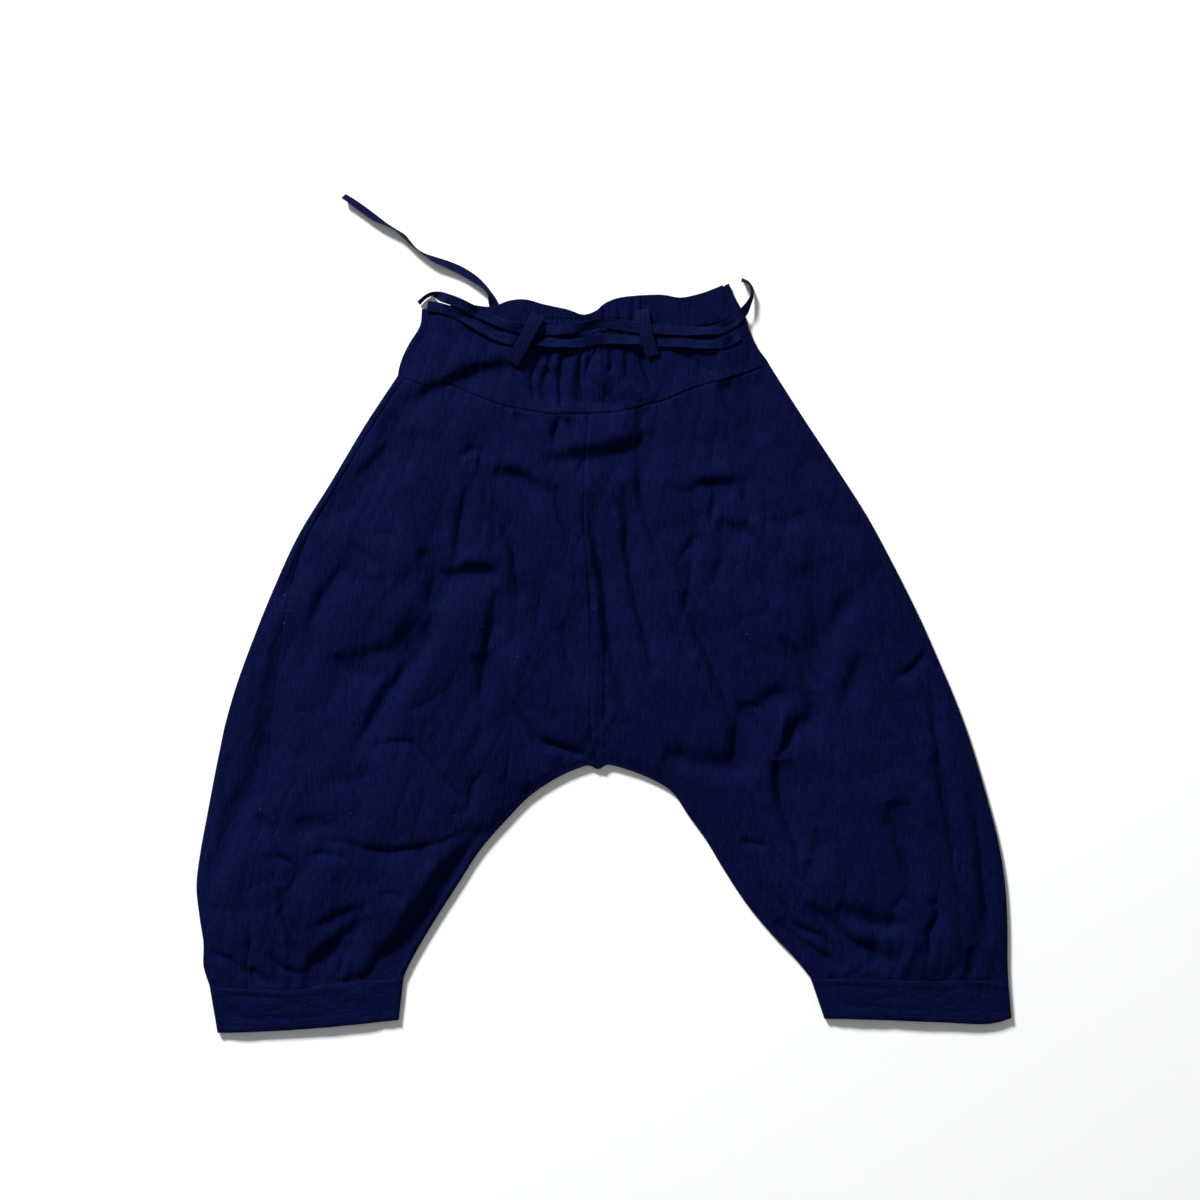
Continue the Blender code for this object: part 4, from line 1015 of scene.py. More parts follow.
@dataclass
class Leg:
    """One leg: its back panel over its front panel, which wraps round the outer edge."""

    side: Side
    drape: Drape
    wardrobe: Wardrobe
    rows: int = 296
    columns: int = 150
    floor_columns: int = 14
    wrap_steps: int = 8
    strip_columns: int = 12
    cloth: float = 0.8 * MM
    tongue: Point = Point(-6, -148)
    tongue_width: float = 6.5
    tongue_height: float = 18
    tongue_length: float = 7.5
    seam_width: float = 1.3 * MM
    pucker_length: float = 14 * MM
    row_length: float = 40 * MM

    @property
    def table(self) -> list[Section]:
        """The leg's sections."""
        return LEGS[self.side]

    def plan(self, row: Array, inset: Array) -> tuple[Array, Array]:
        """Finds points of the leg's plan.

        Args:
            row: row numbers down the leg.
            inset: how far each lies in from the outer edge, along its section.

        Returns:
            The points' x and y.
        """
        leg = self.table
        outer, inner = outer_end(leg, row), inner_end(leg, row)
        length = np.linalg.norm(inner - outer, axis=-1)
        place = outer + (inner - outer) * (inset / length)[..., None]
        x, y = place[..., 0], place[..., 1]
        last = len(leg) - 1
        yoke = yoke_line(x)
        y = y + (yoke - np.interp(x, *self.straight(0))) * np.clip(1 - row / 4, 0, 1) ** 2
        cuff = cuff_line(x, self.side)
        y = y + (cuff - np.interp(x, *self.straight(last))) * np.clip(1 - (last - row) / 3, 0, 1) ** 2
        across = bell(x / MM - self.tongue.x, self.tongue_width)
        down = bell(y / MM - self.tongue.y, self.tongue_height)
        return x, y - self.tongue_length * MM * across * down

    def straight(self, row: int) -> tuple[list[float], list[float]]:
        """The x and the y of a table row's two ends, from left to right.

        Args:
            row: the row's number.

        Returns:
            Both x and both y, in metres.
        """
        one = self.table[row]
        ends = sorted([(one.outer_x, one.outer_y), (one.inner_x, one.inner_y)])
        return [ends[0][0] * MM, ends[1][0] * MM], [ends[0][1] * MM, ends[1][1] * MM]

    def row_numbers(self) -> Array:
        """Row numbers down the leg, closer together above the cuff.

        Returns:
            The numbers, from 0 at the yoke's seam to the last row's at the cuff.
        """
        last = len(self.table) - 1
        t = np.linspace(0, 1, self.rows)
        rows = last * (t + 0.06 * np.sin(2 * math.pi * t) / (2 * math.pi))
        near = np.abs(rows - CROTCH_ROW).argmin()
        rows[near] = CROTCH_ROW
        return np.sort(np.append(rows, CROTCH_ROW - CROTCH_STEP))

    def sections(self) -> tuple[Array, Array, Array, Array]:
        """Each row's number, length and side seam, and how far its inner end is rounded.

        Returns:
            Numbers, lengths, how far in the side seam lies, and shares, 1 below the crotch.
        """
        rows, leg = self.row_numbers(), self.table
        length = np.linalg.norm(inner_end(leg, rows) - outer_end(leg, rows), axis=-1)
        side = between_rows(column(leg, "side_seam"), rows)
        turned = np.clip((rows - (CROTCH_ROW - CROTCH_STEP)) / CROTCH_STEP, 0, 1)
        return rows, length, side, turned

    def detail(self, row: Array, inset: Array, x: Array, y: Array) -> Array:
        """The small relief of seams: grooves, allowances pressed under them, and puckers.

        Args:
            row: row numbers down the leg.
            inset: how far each point lies in from the outer edge.
            x: the points' x.
            y: the points' y.

        Returns:
            What the seams add to the height, in metres.
        """
        leg = self.table
        length = np.linalg.norm(inner_end(leg, row) - outer_end(leg, row), axis=-1)
        side = between_rows(column(leg, "side_seam"), row)
        from_side = inset - side
        from_centre = length - inset
        above = smoothstep((CROTCH_ROW + 0.3 - row) / 0.6)
        run = row * self.row_length
        groove = -0.7 * MM * bell(from_side, self.seam_width)
        groove += 0.45 * MM * pressed_under(-from_side, 2 * MM)
        centre = -0.8 * MM * bell(from_centre, self.seam_width)
        if self.side is Side.RIGHT:
            centre += 0.6 * MM * pressed_under(from_centre, 2 * MM)
        wave = np.cos(2 * math.pi * (run + 0.1 * from_centre) / self.pucker_length)
        pucker = np.exp(-from_centre / ALLOWANCE) * wave
        centre += 0.35 * MM * pucker * (0.6 + 0.4 * ripple(run, run, 0.03, 0.03, 21))
        from_yoke = yoke_line(x) - y
        yoke = -0.8 * MM * bell(from_yoke, 0.8 * MM)
        yoke += 0.3 * MM * np.exp(-np.maximum(from_yoke, 0) / (7 * MM)) * np.cos(x / MM * 0.62)
        return groove + centre * above + yoke * smoothstep(1.5 - row)

    def back(self) -> bpy.types.Object:
        """Builds the back panel, from the side seam to the centre seam and the inseam.

        Returns:
            The panel.
        """
        rows, length, side, turned = self.sections()
        shares = np.linspace(0, 1, self.columns)
        inset = side[:, None] + (length - EDGE_RADIUS - side)[:, None] * shares
        turns = np.linspace(math.pi / 2, 0, 6)[1:]
        steps = np.arange(1, 6) / 5
        flat_inset = (length - EDGE_RADIUS)[:, None] + EDGE_RADIUS * steps
        round_inset = (length - EDGE_RADIUS)[:, None] + EDGE_RADIUS * np.cos(turns)
        share = turned[:, None]
        inset = np.concatenate([inset, flat_inset + (round_inset - flat_inset) * share], axis=1)
        row = np.broadcast_to(rows[:, None], inset.shape)
        x, y = self.plan(row, inset)
        z = self.drape.height(x, y) + self.detail(row, inset, x, y)
        rounded = EDGE_RADIUS + EDGE_RADIUS * np.sin(turns)
        z[:, self.columns:] += (rounded - z[:, self.columns:]) * share
        grain = planar_grain(x, y, 7 if self.side is Side.LEFT else -9)
        piece = add_cloth(f"back_panel_{self.side.value}", np.stack([x, y, z], axis=-1), grain, self.cloth)
        sew(piece, self.wardrobe.cotton, (f"back_leg_{self.side.value}",))
        return piece

    def front(self) -> bpy.types.Object:
        """Builds the front panel: flat underneath, round the outer edge and on to the side seam.

        Returns:
            The panel.
        """
        rows, length, side, turned = self.sections()
        insets, heights = [], []
        for step, turn in enumerate(np.linspace(0, -math.pi / 2, 6)[:-1]):
            flat_inset = length - EDGE_RADIUS * step / 5
            round_inset = length - EDGE_RADIUS + EDGE_RADIUS * math.cos(turn)
            insets.append(flat_inset + (round_inset - flat_inset) * turned)
            heights.append(EDGE_RADIUS * (1 + math.sin(turn)) * turned)
        for share in np.linspace(0, 1, self.floor_columns):
            insets.append(length - EDGE_RADIUS + (2 * EDGE_RADIUS - length) * share)
            heights.append(np.zeros_like(length))
        for turn in np.linspace(-math.pi / 2, math.pi / 2, self.wrap_steps + 1)[1:-1]:
            insets.append(np.full_like(length, EDGE_RADIUS * (1 - math.cos(turn))))
            heights.append(np.full_like(length, EDGE_RADIUS * (1 + math.sin(turn))))
        low = len(insets)
        for share in np.linspace(0, 1, self.strip_columns):
            insets.append(EDGE_RADIUS + (side - EDGE_RADIUS) * share)
        inset = np.stack(insets, axis=1)
        row = np.broadcast_to(rows[:, None], inset.shape)
        x, y = self.plan(row, inset)
        z = np.zeros_like(x)
        z[:, :low] = np.stack(heights, axis=1)
        top = (row[:, low:], inset[:, low:], x[:, low:], y[:, low:])
        z[:, low:] = self.drape.height(top[2], top[3]) + self.detail(*top)
        grain = planar_grain(x, y, 12 if self.side is Side.LEFT else -14)
        piece = add_cloth(f"front_panel_{self.side.value}", np.stack([x, y, z], axis=-1), grain, self.cloth)
        sew(piece, self.wardrobe.cotton, (f"front_leg_{self.side.value}",))
        return piece

    def build(self) -> list[bpy.types.Object]:
        """Builds both panels."""
        return [self.front(), self.back()]


@dataclass
class Yoke:
    """The yoke round the waist, with its turned-down frill and ruched elastic at the back."""

    drape: Drape
    wardrobe: Wardrobe
    rows: int = 104
    columns: int = 340
    side_seam: float = 8 * MM
    front_drop: float = 6 * MM
    roll: float = 1.6 * MM
    cloth: float = 0.9 * MM

    def plan(self, x0: Array, up: Array, drop: float = 0.0) -> tuple[Array, Array]:
        """Finds points of the yoke's plan.

        Args:
            x0: where each column meets the yoke seam.
            up: from 0 at that seam to 1 at the waist's edge.
            drop: how much lower the edge lies than the back's.

        Returns:
            The points' x and y.
        """
        first = LEFT_WAIST_SIDE[0].x * MM
        width = RIGHT_WAIST_SIDE[0].x * MM - first
        share = (x0 - first) / width
        top = edge_points(WAIST_EDGE, 8)
        low_y = yoke_line(x0)
        top_x = top[0, 0] + share * (top[-1, 0] - top[0, 0])
        reach = smoothstep(np.minimum(x0 - first, first + width - x0) / (40 * MM))
        top_y = np.interp(top_x, top[:, 0], top[:, 1]) - drop * reach
        left = between_rows(column(LEFT_WAIST_SIDE, "x"), up * (len(LEFT_WAIST_SIDE) - 1))
        right = between_rows(column(RIGHT_WAIST_SIDE, "x"), up * (len(RIGHT_WAIST_SIDE) - 1))
        x = x0 + (top_x - x0) * up
        x = x + (left - first - (top[0, 0] - first) * up) * (1 - share) ** 2
        x = x + (right - first - width - (top[-1, 0] - first - width) * up) * share**2
        return x, low_y + (top_y - low_y) * up

    def detail(self, x0: Array, x: Array, y: Array) -> Array:
        """The relief of the seams, the elastic's channel and the frill above it.

        Args:
            x0: where each point's column meets the yoke's seam.
            x: the points' x.
            y: the points' y.

        Returns:
            What they add to the height, in metres.
        """
        low = yoke_line(x0)
        above = y - low
        relief = -0.8 * MM * bell(above, 0.8 * MM)
        relief += 0.3 * MM * smoothstep(above / (1.5 * MM)) * smoothstep((10 * MM - above) / (2.5 * MM))
        ruched = smoothstep((x / MM + 80) / 10) * smoothstep((50 - x / MM) / 10)
        for channel in ELASTIC_LINES:
            relief -= 0.8 * MM * ruched * bell(y / MM - channel, 1.6)
        relief += 0.5 * MM * ruched * bell(y / MM - sum(ELASTIC_LINES) / 2, 9)
        mark = bell(x / MM + 45, 1.0) * smoothstep((y / MM - 283) / 3)
        relief -= 0.7 * MM * mark
        near_side = np.minimum(x0 - LEFT_WAIST_SIDE[0].x * MM, RIGHT_WAIST_SIDE[0].x * MM - x0)
        relief -= 0.6 * MM * bell(near_side - self.side_seam, 1.2 * MM)
        return relief

    def back(self) -> bpy.types.Object:
        """Builds the back yoke, with its rolled upper edge.

        Returns:
            The yoke.
        """
        left = LEFT_WAIST_SIDE[0].x * MM + self.side_seam
        right = RIGHT_WAIST_SIDE[0].x * MM - self.side_seam
        x0, up = np.meshgrid(np.linspace(left, right, self.columns), np.linspace(0, 1, self.rows))
        x, y = self.plan(x0, up)
        z = self.drape.height(x, y) + self.detail(x0, x, y)
        turns = np.linspace(0, math.pi, 6)[1:]
        edge = np.stack([x[-1], y[-1], z[-1]], axis=-1)
        points = np.stack([x, y, z], axis=-1)
        roll = [edge + np.array([0, self.roll * math.sin(t), -self.roll * (1 - math.cos(t))]) for t in turns]
        inner = roll[-1] - np.array([0, 9 * MM, 0])
        points = np.concatenate([points, np.stack(roll), inner[None]])
        grain = planar_grain(points[..., 0], points[..., 1] - points[..., 2], 0)
        piece = add_cloth("yoke_back", points, grain, self.cloth)
        sew(piece, self.wardrobe.cotton, ("back_yoke",))
        return piece

    def front(self) -> bpy.types.Object:
        """Builds the front yoke: flat underneath, wrapped round both sides of the waist.

        Returns:
            The yoke.
        """
        left, right = LEFT_WAIST_SIDE[0].x * MM, RIGHT_WAIST_SIDE[0].x * MM
        turns = np.linspace(math.pi / 2, -math.pi / 2, 9)
        strip = np.linspace(self.side_seam, EDGE_RADIUS, 6)[:-1]
        floor = np.linspace(left + EDGE_RADIUS, right - EDGE_RADIUS, 40)[1:-1]
        wrap = EDGE_RADIUS * (1 - np.cos(turns))
        x0 = np.concatenate([left + strip, left + wrap, floor, right - wrap[::-1], right - strip[::-1]])
        arc = EDGE_RADIUS * (1 + np.sin(turns))
        z0 = np.concatenate([strip * 0, arc, floor * 0, arc[::-1], strip * 0])
        x0, up = np.meshgrid(x0, np.linspace(0, 1, 40))
        x, y = self.plan(x0, up, self.front_drop)
        z = np.broadcast_to(z0, x.shape).copy()
        over = np.r_[0 : len(strip) + 1, x.shape[1] - len(strip) - 1 : x.shape[1]]
        z[:, over] = self.drape.height(x[:, over], y[:, over])
        points = np.stack([x, y, z], axis=-1)
        piece = add_cloth("yoke_front", points, planar_grain(x, y, 0), self.cloth)
        sew(piece, self.wardrobe.cotton, ("front_yoke",))
        return piece

    def build(self) -> list[bpy.types.Object]:
        """Builds both yokes."""
        return [self.front(), self.back()]


@dataclass
class Cuff:
    """A plain cuff: a flattened ring that is open at both ends, with a turned hem."""

    side: Side
    drape: Drape
    wardrobe: Wardrobe
    rows: int = 26
    top_columns: int = 110
    floor_columns: int = 40
    depth: float = 45 * MM
    cloth: float = 1.0 * MM

    def build(self) -> bpy.types.Object:
        """Builds the ring.

        Returns:
            The cuff.
        """
        seam, hem = edge_points(CUFF_SEAM[self.side], 8), edge_points(CUFF_HEM[self.side], 8)
        turns = np.linspace(math.pi / 2, -math.pi / 2, 9)[1:-1]
        rings = []
        for down in [*np.linspace(0, 1, self.rows), 1.0]:
            left = seam[0, 0] + (hem[0, 0] - seam[0, 0]) * down
            right = seam[-1, 0] + (hem[-1, 0] - seam[-1, 0]) * down
            low, high = left + EDGE_RADIUS, right - EDGE_RADIUS
            over = np.linspace(low, high, self.top_columns)
            under = np.linspace(high, low, self.floor_columns)
            round_right, round_left = EDGE_RADIUS * np.cos(turns), EDGE_RADIUS * np.cos(turns[::-1])
            x = np.concatenate([over, high + round_right, under, low - round_left, over[:1]])
            share = (x - left) / (right - left)
            seam_x = seam[0, 0] + share * (seam[-1, 0] - seam[0, 0])
            hem_x = hem[0, 0] + share * (hem[-1, 0] - hem[0, 0])
            seam_y = np.interp(seam_x, seam[:, 0], seam[:, 1])
            y = seam_y + (np.interp(hem_x, hem[:, 0], hem[:, 1]) - seam_y) * down
            top = self.drape.height(over, y[: len(over)])
            from_seam, from_hem = seam_y[: len(over)] - y[: len(over)], self.depth * (1 - down)
            top += -0.8 * MM * bell(from_seam, 1.2 * MM)
            top += 0.5 * MM * pressed_under(from_seam, 3 * MM)
            top -= 1.0 * MM * smoothstep(1 - from_hem / (2.5 * MM)) ** 2
            wave = np.cos(over / MM * 0.5 + np.sin(over / MM * 0.13) * 3)
            top += 0.25 * MM * wave * bell(from_seam - ALLOWANCE, ALLOWANCE)
            down_right, up_left = (EDGE_RADIUS * (1 + np.sin(t)) for t in (turns, turns[::-1]))
            z = np.concatenate([top, down_right, np.zeros(len(under)), up_left, top[:1]])
            rings.append(np.stack([x, y, z], axis=-1))
        points = np.stack(rings[:-1])
        down = np.linspace(0, self.depth, self.rows)
        grain = np.stack(np.broadcast_arrays(1 + down[:, None], 1 + run_along(points[0])[None]), axis=-1)
        piece = add_cloth(f"cuff_band_{self.side.value}", points, grain, self.cloth, closed=True)
        sew(piece, self.wardrobe.cotton, (f"cuff_{self.side.value}",))
        return piece


def spaced(points: Array, step: float) -> Array:
    """Points at even steps along a smooth curve through those given, any columns wide.

    Args:
        points: a row for each point, x and y first.
        step: the distance between the new points.

    Returns:
        The new points, with the same columns.
    """
    rows = np.linspace(0, len(points) - 1, (len(points) - 1) * 16 + 1)
    dense = np.stack([between_rows(points[:, c], rows) for c in range(points.shape[1])], axis=1)
    run = run_along(dense[:, :2])
    even = np.linspace(0, run[-1], max(2, round(run[-1] / step) + 1))
    return np.stack([np.interp(even, run, dense[:, c]) for c in range(points.shape[1])], axis=1)


def table_line(table: list[Point]) -> Array:
    """A table's points, in metres."""
    return np.stack([column(table, "x"), column(table, "y")], axis=1)


def across_line(middle: Array) -> Array:
    """Unit vectors to the left of a line in the plan.

    Args:
        middle: the line's points.

    Returns:
        One for each point.
    """
    along = np.gradient(middle, axis=0)
    along /= np.linalg.norm(along, axis=1)[:, None]
    return np.stack([-along[:, 1], along[:, 0]], axis=1)


@dataclass
class Tape:
    """A flat strip of folded cloth along a line: plan, lowest edge and lean at each step."""

    name: str
    rows: Array
    width: float
    thickness: float
    wardrobe: Wardrobe
    nodes: tuple[str, ...]
    slot: Slot = Slot.TIE
    rests_on: tuple[str, ...] = ()

    def frames(self) -> tuple[Array, Array, Array]:
        """The strip's centres, and its directions across and through, at each step.

        Returns:
            The centres, and unit vectors across the strip and through it.
        """
        side = across_line(self.rows[:, :2])
        lean = self.rows[:, 3]
        flat = np.column_stack([side, np.zeros(len(side))])
        up = np.array([0.0, 0.0, 1.0])
        wide = flat * np.cos(lean)[:, None] + up * np.sin(lean)[:, None]
        thick = up * np.cos(lean)[:, None] - flat * np.sin(lean)[:, None]
        lift = np.abs(wide[:, 2]) * self.width / 2 + np.abs(thick[:, 2]) * self.thickness / 2
        return np.column_stack([self.rows[:, :2], self.rows[:, 2] + lift]), wide, thick

    def build(self) -> bpy.types.Object:
        """Builds the strip as one closed band with rounded edges.

        Returns:
            The strip.
        """
        centre, wide, thick = self.frames()
        half, deep = self.width / 2, self.thickness / 2
        outline = [
            (-1.0, 0.0), (-0.97, 0.75), (-0.88, 1.0), (-0.72, 0.72), (-0.4, 0.86), (0.0, 0.95), (0.4, 0.86),
            (0.72, 0.72), (0.88, 1.0), (0.97, 0.75), (1.0, 0.0), (0.94, -0.9), (0.5, -1.0), (0.0, -1.0),
            (-0.5, -1.0), (-0.94, -0.9), (-1.0, 0.0),
        ]
        run = run_along(centre)
        points = np.stack([centre + wide * (a * half) + thick * (b * deep) for a, b in outline], axis=1)
        middles = points.mean(axis=1, keepdims=True)
        ends = middles + (points - middles) * 0.02
        points = np.concatenate([ends[:1], points, ends[-1:]])
        run = np.concatenate([run[:1], run, run[-1:]])
        around = np.array([a for a, _ in outline]) * half
        grain = np.stack(np.broadcast_arrays(1 + around[None], 1 + run[:, None]), axis=-1)
        piece = self.skin(points, grain)
        # Every strip gets the lighter tape finish, the belt loops too; on the loops it is a painted
        # highlight.
        sew(piece, self.wardrobe.tape, self.nodes)
        return piece

    def skin(self, points: Array, grain: Array) -> bpy.types.Object:
        """Lays a closed skin over the strip's sections, and caps both its ends.

        Args:
            points: sections, by points round each, by three.
            grain: the map of its grain, as for lay_grid.

        Returns:
            The strip, with its faces outwards.
        """
        piece = lay_grid(self.name, points, grain)
        bpy.ops.object.mode_set(mode="EDIT")
        bpy.ops.mesh.select_all(action="SELECT")
        bpy.ops.mesh.remove_doubles(threshold=0.000002)
        bpy.ops.mesh.select_all(action="DESELECT")
        bpy.ops.mesh.select_mode(type="EDGE")
        bpy.ops.mesh.select_non_manifold()
        bpy.ops.mesh.fill_holes(sides=40)
        bpy.ops.mesh.select_all(action="SELECT")
        bpy.ops.mesh.normals_make_consistent(inside=False)
        bpy.ops.mesh.select_mode(type="VERT")
        bpy.ops.object.mode_set(mode="OBJECT")
        bpy.ops.object.shade_smooth_by_angle(angle=math.radians(60))
        return piece

    def top_at(self, x: Array, y: Array) -> Array:
        """The strip's top over points of the plan, or -1 where it isn't near them.

        Args:
            x: the points' x.
            y: the points' y.

        Returns:
            The top at each point.
        """
        best = np.full(x.shape, -1.0)
        for px, py, low, lean in self.rows:
            near = np.hypot(x - px, y - py) < self.width / 2 + 2.5 * MM
            top = low + self.width * math.sin(lean) + self.thickness * math.cos(lean)
            best = np.where(near, np.maximum(best, top), best)
        return best


@dataclass
class Tie:
    """The flat tie: two rows across the back, a bend at both sides, and a loose end."""

    drape: Drape
    wardrobe: Wardrobe
    width: float = 10 * MM
    thickness: float = 1.0 * MM
    lift: float = 0.35 * MM
    step: float = 2.2 * MM
    tapes: list[Tape] = field(default_factory=list)

    def rest_on(self, middle: Array, width: float, below: list) -> Array:
        """The lowest edge of a strip that lies over what is below it, smoothed along its length.

        Args:
            middle: the strip's line in the plan.
            width: the strip's width.
            below: functions of x and y that give the top of each thing below it.

        Returns:
            The edge's height at each point of the line.
        """
        across = across_line(middle)
        highest = np.zeros(len(middle))
        for offset in np.linspace(-width / 2, width / 2, 5):
            place = middle + across * offset
            for top_at in below:
                highest = np.maximum(highest, top_at(place[:, 0], place[:, 1]))
        padded = np.pad(highest, 3, mode="edge")
        raised = np.max([padded[i : i + len(highest)] for i in range(7)], axis=0)
        padded = np.pad(raised, 3, mode="edge")
        return np.mean([padded[i : i + len(highest)] for i in range(7)], axis=0) + self.lift

    def flat_rows(self, table: list[Point], below: list) -> Array:
        """A stretch that lies on the garment, as rows of plan, lowest edge and lean.

        Args:
            table: the stretch's points.
            below: what it lies on, as for rest_on.

        Returns:
            The rows, at even steps.
        """
        middle = spaced(table_line(table), self.step)
        lowest = self.rest_on(middle, self.width, below)
        run = np.arange(len(middle)) * self.step
        free = smoothstep(run / (20 * MM)) * smoothstep(run[::-1] / (20 * MM))
        sway = 0.62 * ripple(run, run, 24 * MM, 24 * MM, len(table)) * free
        lowest += 0.5 * MM * (1 + ripple(run, run, 26 * MM, 26 * MM, len(table) + 7)) * free
        return np.column_stack([middle, lowest, sway])

    def bend_rows(self, table: list[Bend]) -> Array:
        """A free stretch, as rows of plan, lowest edge and lean.

        Args:
            table: the stretch's bends.

        Returns:
            The rows, at even steps.
        """
        lean = np.radians([row.lean for row in table])
        rows = np.stack([column(table, "x"), column(table, "y"), column(table, "lowest"), lean], axis=1)
        return spaced(rows, self.step)

    def build(self) -> list[bpy.types.Object]:
        """Builds the three stretches.

        Returns:
            The lower row, the upper row and the loose end.
        """
        size = {"width": self.width, "thickness": self.thickness, "wardrobe": self.wardrobe}
        lower_rows = self.flat_rows(LOWER_TIE, [self.drape.height])
        lower = Tape("tie_lower_row", lower_rows, nodes=("tie_lower",), **size)
        upper_rows = np.concatenate([
            self.bend_rows(LEFT_BEND)[::-1],
            self.flat_rows(UPPER_TIE, [self.drape.height, lower.top_at]),
            self.bend_rows(RIGHT_BEND),
        ])
        upper = Tape("tie_upper_row", spaced(upper_rows[::2], self.step), nodes=("tie_upper",), **size)
        loose = Tape("tie_end", self.bend_rows(LOOSE_END), nodes=("tie_loose_end",), **size)
        self.tapes = [lower, upper, loose]
        return [tape.build() for tape in self.tapes]


@dataclass
class Loops:
    """The two belt loops over the tie."""

    tie: Tie
    wardrobe: Wardrobe
    width: float = 13.5 * MM
    thickness: float = 1.2 * MM

    def build(self) -> list[Tape]:
        """Builds both loops.

        Returns:
            The loops' strips, for their stitching.
        """
        below = [self.tie.drape.height, self.tie.tapes[0].top_at, self.tie.tapes[1].top_at]
        made = []
        for side, table in ((Side.LEFT, LEFT_LOOP), (Side.RIGHT, RIGHT_LOOP)):
            middle = spaced(table_line(table), 2.0 * MM)
            lowest = self.tie.rest_on(middle, self.width, below)
            rows = np.column_stack([middle, lowest, np.zeros(len(middle))])
            # Built as a strip, each loop gets the lighter tape finish: a painted highlight, since the loops
            # are the yoke's own cloth.
            loop = Tape(
                f"loop_{side.value}", rows, self.width, self.thickness, self.wardrobe,
                (f"belt_loop_{side.value}",), Slot.COTTON, rests_on=("yoke_back",),
            )
            loop.build()
            made.append(loop)
        return made


@dataclass
class Stitching:
    """Rows of small stitches, each one a copy of the same short bar of thread."""

    wardrobe: Wardrobe
    pitch: float = 3.0 * MM
    length: float = 2.3 * MM
    thread: float = 0.36 * MM

    def model(self) -> tuple[Array, Array]:
        """Models one stitch with operators and reads it back.

        Returns:
            Its points and its faces.
        """
        bpy.ops.object.select_all(action="DESELECT")
        bpy.ops.mesh.primitive_uv_sphere_add(segments=6, ring_count=4, radius=0.5)
        one = bpy.context.object
        bpy.ops.object.mode_set(mode="EDIT")
        bpy.ops.mesh.quads_convert_to_tris()
        bpy.ops.transform.rotate(value=math.pi / 2, orient_axis="Y", center_override=(0, 0, 0))
        bpy.ops.transform.resize(value=(self.length, self.thread, self.thread * 0.7))
        bpy.ops.object.mode_set(mode="OBJECT")
        points = np.array([v.co[:] for v in one.data.vertices])
        faces = np.array([face.vertices[:] for face in one.data.polygons])
        bpy.data.objects.remove(one)
        return points, faces

    def sew_rows(self, name: str, rows: list[Array]) -> bpy.types.Object:
        """Sews stitches along lines.

        Args:
            name: the piece's name.
            rows: lines of points in space, on the cloth.

        Returns:
            One mesh of all the stitches.
        """
        points, faces = self.model()
        all_points, all_faces = [], []
        for row in rows:
            run = run_along(row)
            count = int(run[-1] / self.pitch)
            for step in range(count):
                middle = (step + 0.5) * self.pitch
                ends = [middle - self.length / 2, middle + self.length / 2]
                a, b = (np.array([np.interp(e, run, row[:, c]) for c in range(3)]) for e in ends)
                along = (b - a) / np.linalg.norm(b - a)
                side = np.cross([0, 0, 1], along)
                side /= np.linalg.norm(side)
                turn = np.stack([along, side, np.cross(along, side)])
                all_faces.append(faces + len(all_points) * len(points))
                all_points.append(points @ turn + (a + b) / 2 + np.array([0, 0, 0.10 * MM]))
        mesh = bpy.data.meshes.new(name)
        mesh.from_pydata(np.concatenate(all_points).tolist(), [], np.concatenate(all_faces).tolist())
        piece = bpy.data.objects.new(name, mesh)
        bpy.context.scene.collection.objects.link(piece)
        mesh.shade_smooth()
        return sew(piece, self.wardrobe.thread)


@dataclass
class Studio:
    """A pale floor, soft lights from above, and a camera straight over the garment."""

    camera_height: float = 2.2
    view_width: float = 1.2
    centre: Point = Point(-4, 13)

    def build(self) -> None:
        """Builds the floor, the lights, the world and the camera."""
        bpy.ops.object.select_all(action="DESELECT")
        bpy.ops.mesh.primitive_plane_add(size=9, location=(0, 0, -0.0004))
        floor = bpy.context.object
        floor.name = "floor"
        floor.data.materials.append(PlainFinish("pale_floor", (0.95, 0.95, 0.95), 0.9, 3, 0.01).make())
        self.light("key", (-3.0, 5.0, 3.5), 1.2, 860)
        self.light("top", (0, 0.2, 4.0), 3.0, 20)
        world = bpy.data.worlds.new("studio")
        bpy.context.scene.world = world
        world.use_nodes = True
        world.node_tree.nodes["Background"].inputs["Color"].default_value = (0.95, 0.97, 1.0, 1)
        world.node_tree.nodes["Background"].inputs["Strength"].default_value = 0.15
        data = bpy.data.cameras.new("camera")
        data.lens = 36 * self.camera_height / self.view_width
        data.sensor_width = 36
        camera = bpy.data.objects.new("camera", data)
        bpy.context.scene.collection.objects.link(camera)
        camera.location = (self.centre.x * MM, self.centre.y * MM, self.camera_height)
        bpy.context.scene.camera = camera
        bpy.context.scene.view_settings.view_transform = "Standard"

    def light(self, name: str, place: tuple[float, float, float], size: float, power: float) -> None:
        """Adds one square soft light that faces the garment.

        Args:
            name: the light's name.
            place: where it hangs, in metres.
            size: the length of its sides.
            power: its power in watts.
        """
        data = bpy.data.lights.new(name, "AREA")
        data.size = size
        data.energy = power
        lamp = bpy.data.objects.new(name, data)
        bpy.context.scene.collection.objects.link(lamp)
        lamp.location = place
        lamp.rotation_euler = (-Vector(place)).to_track_quat("-Z", "Y").to_euler()


def surface_row(drape: Drape, x: Array, y: Array, lift: float = 0.0) -> Array:
    """A line on the garment's top, over points of the plan."""
    return np.stack([x, y, drape.height(x, y) + lift], axis=-1)


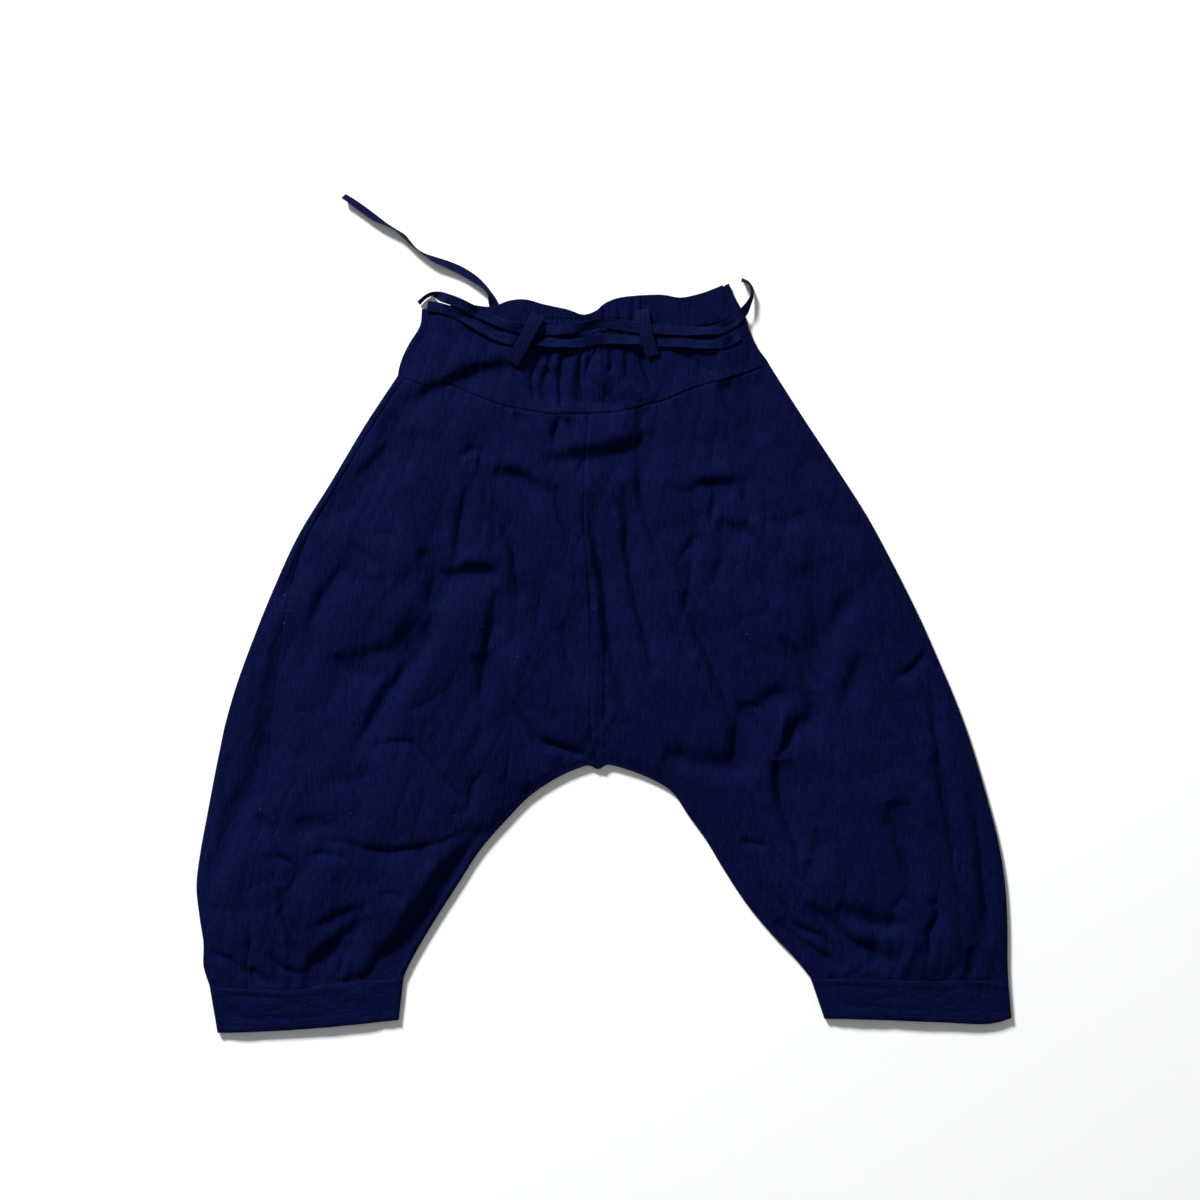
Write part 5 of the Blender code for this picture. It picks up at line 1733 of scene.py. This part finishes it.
def topstitch(drape: Drape, stitching: Stitching, legs: list[Leg], loops: list[Tape]) -> None:
    """Sews every visible row of stitches.

    Args:
        drape: the form that the rows lie on.
        stitching: the maker of stitches.
        legs: both legs.
        loops: both belt loops.
    """
    x = edge_points(YOKE_SEAM, 12)[:, 0]
    x = x[(x > -196 * MM) & (x < 155 * MM)]
    rows = [surface_row(drape, x, yoke_line(x) + 3 * MM, 0.5 * MM)]
    stitching.sew_rows("stitches_yoke", rows)
    down = np.linspace(0.05, CROTCH_ROW - 0.1, 160)
    right = legs[1]
    length = np.linalg.norm(inner_end(right.table, down) - outer_end(right.table, down), axis=-1)
    x, y = right.plan(down, length - 3 * MM)
    stitching.sew_rows("stitches_centre", [surface_row(drape, x, y, 0.5 * MM)])
    for side in Side:
        line, hem = edge_points(CUFF_SEAM[side], 24), edge_points(CUFF_HEM[side], 24)
        line, hem = line[4:-4], hem[4:-4]
        rows = [
            surface_row(drape, line[:, 0], line[:, 1] - 3 * MM, 0.4 * MM),
            surface_row(drape, hem[:, 0], hem[:, 1] + 5 * MM, 0.0),
        ]
        stitching.sew_rows(f"stitches_cuff_{side.value}", rows)
    x = np.linspace(-323, -305, 24) * MM
    rows = [surface_row(drape, x, np.full_like(x, level * MM), 0.5 * MM) for level in (1, 2, 3)]
    stitching.sew_rows("stitches_pocket", rows)
    x = np.linspace(*ELASTIC_ENDS, 240) * MM
    rows = [surface_row(drape, x, np.full_like(x, level * MM), -0.5 * MM) for level in ELASTIC_LINES]
    stitching.sew_rows("stitches_elastic", rows)
    rows = []
    for loop in loops:
        centre, wide, thick = loop.frames()
        for share in (-0.36, 0.36):
            rows.append(centre + wide * loop.width * share + thick * loop.thickness * 0.5)
        for end in (1, -2):
            on_top = centre[end] + thick[end] * loop.thickness * 0.5
            rows.append(np.array([on_top + wide[end] * loop.width * share for share in (-0.4, 0.4)]))
    stitching.sew_rows("stitches_loops", rows)


def main() -> None:
    """Builds the trousers, piece by piece."""
    logging.basicConfig(level=logging.INFO, format="%(message)s")
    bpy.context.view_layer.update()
    wardrobe = Wardrobe.make()
    drape = Drape()
    legs = [Leg(side, drape, wardrobe) for side in Side]
    for leg in legs:
        leg.build()
    Yoke(drape, wardrobe).build()
    for side in Side:
        Cuff(side, drape, wardrobe).build()
    tie = Tie(drape, wardrobe)
    tie.build()
    loops = Loops(tie, wardrobe).build()
    topstitch(drape, Stitching(wardrobe), legs, loops)
    Studio().build()


if __name__ == "__main__":
    main()
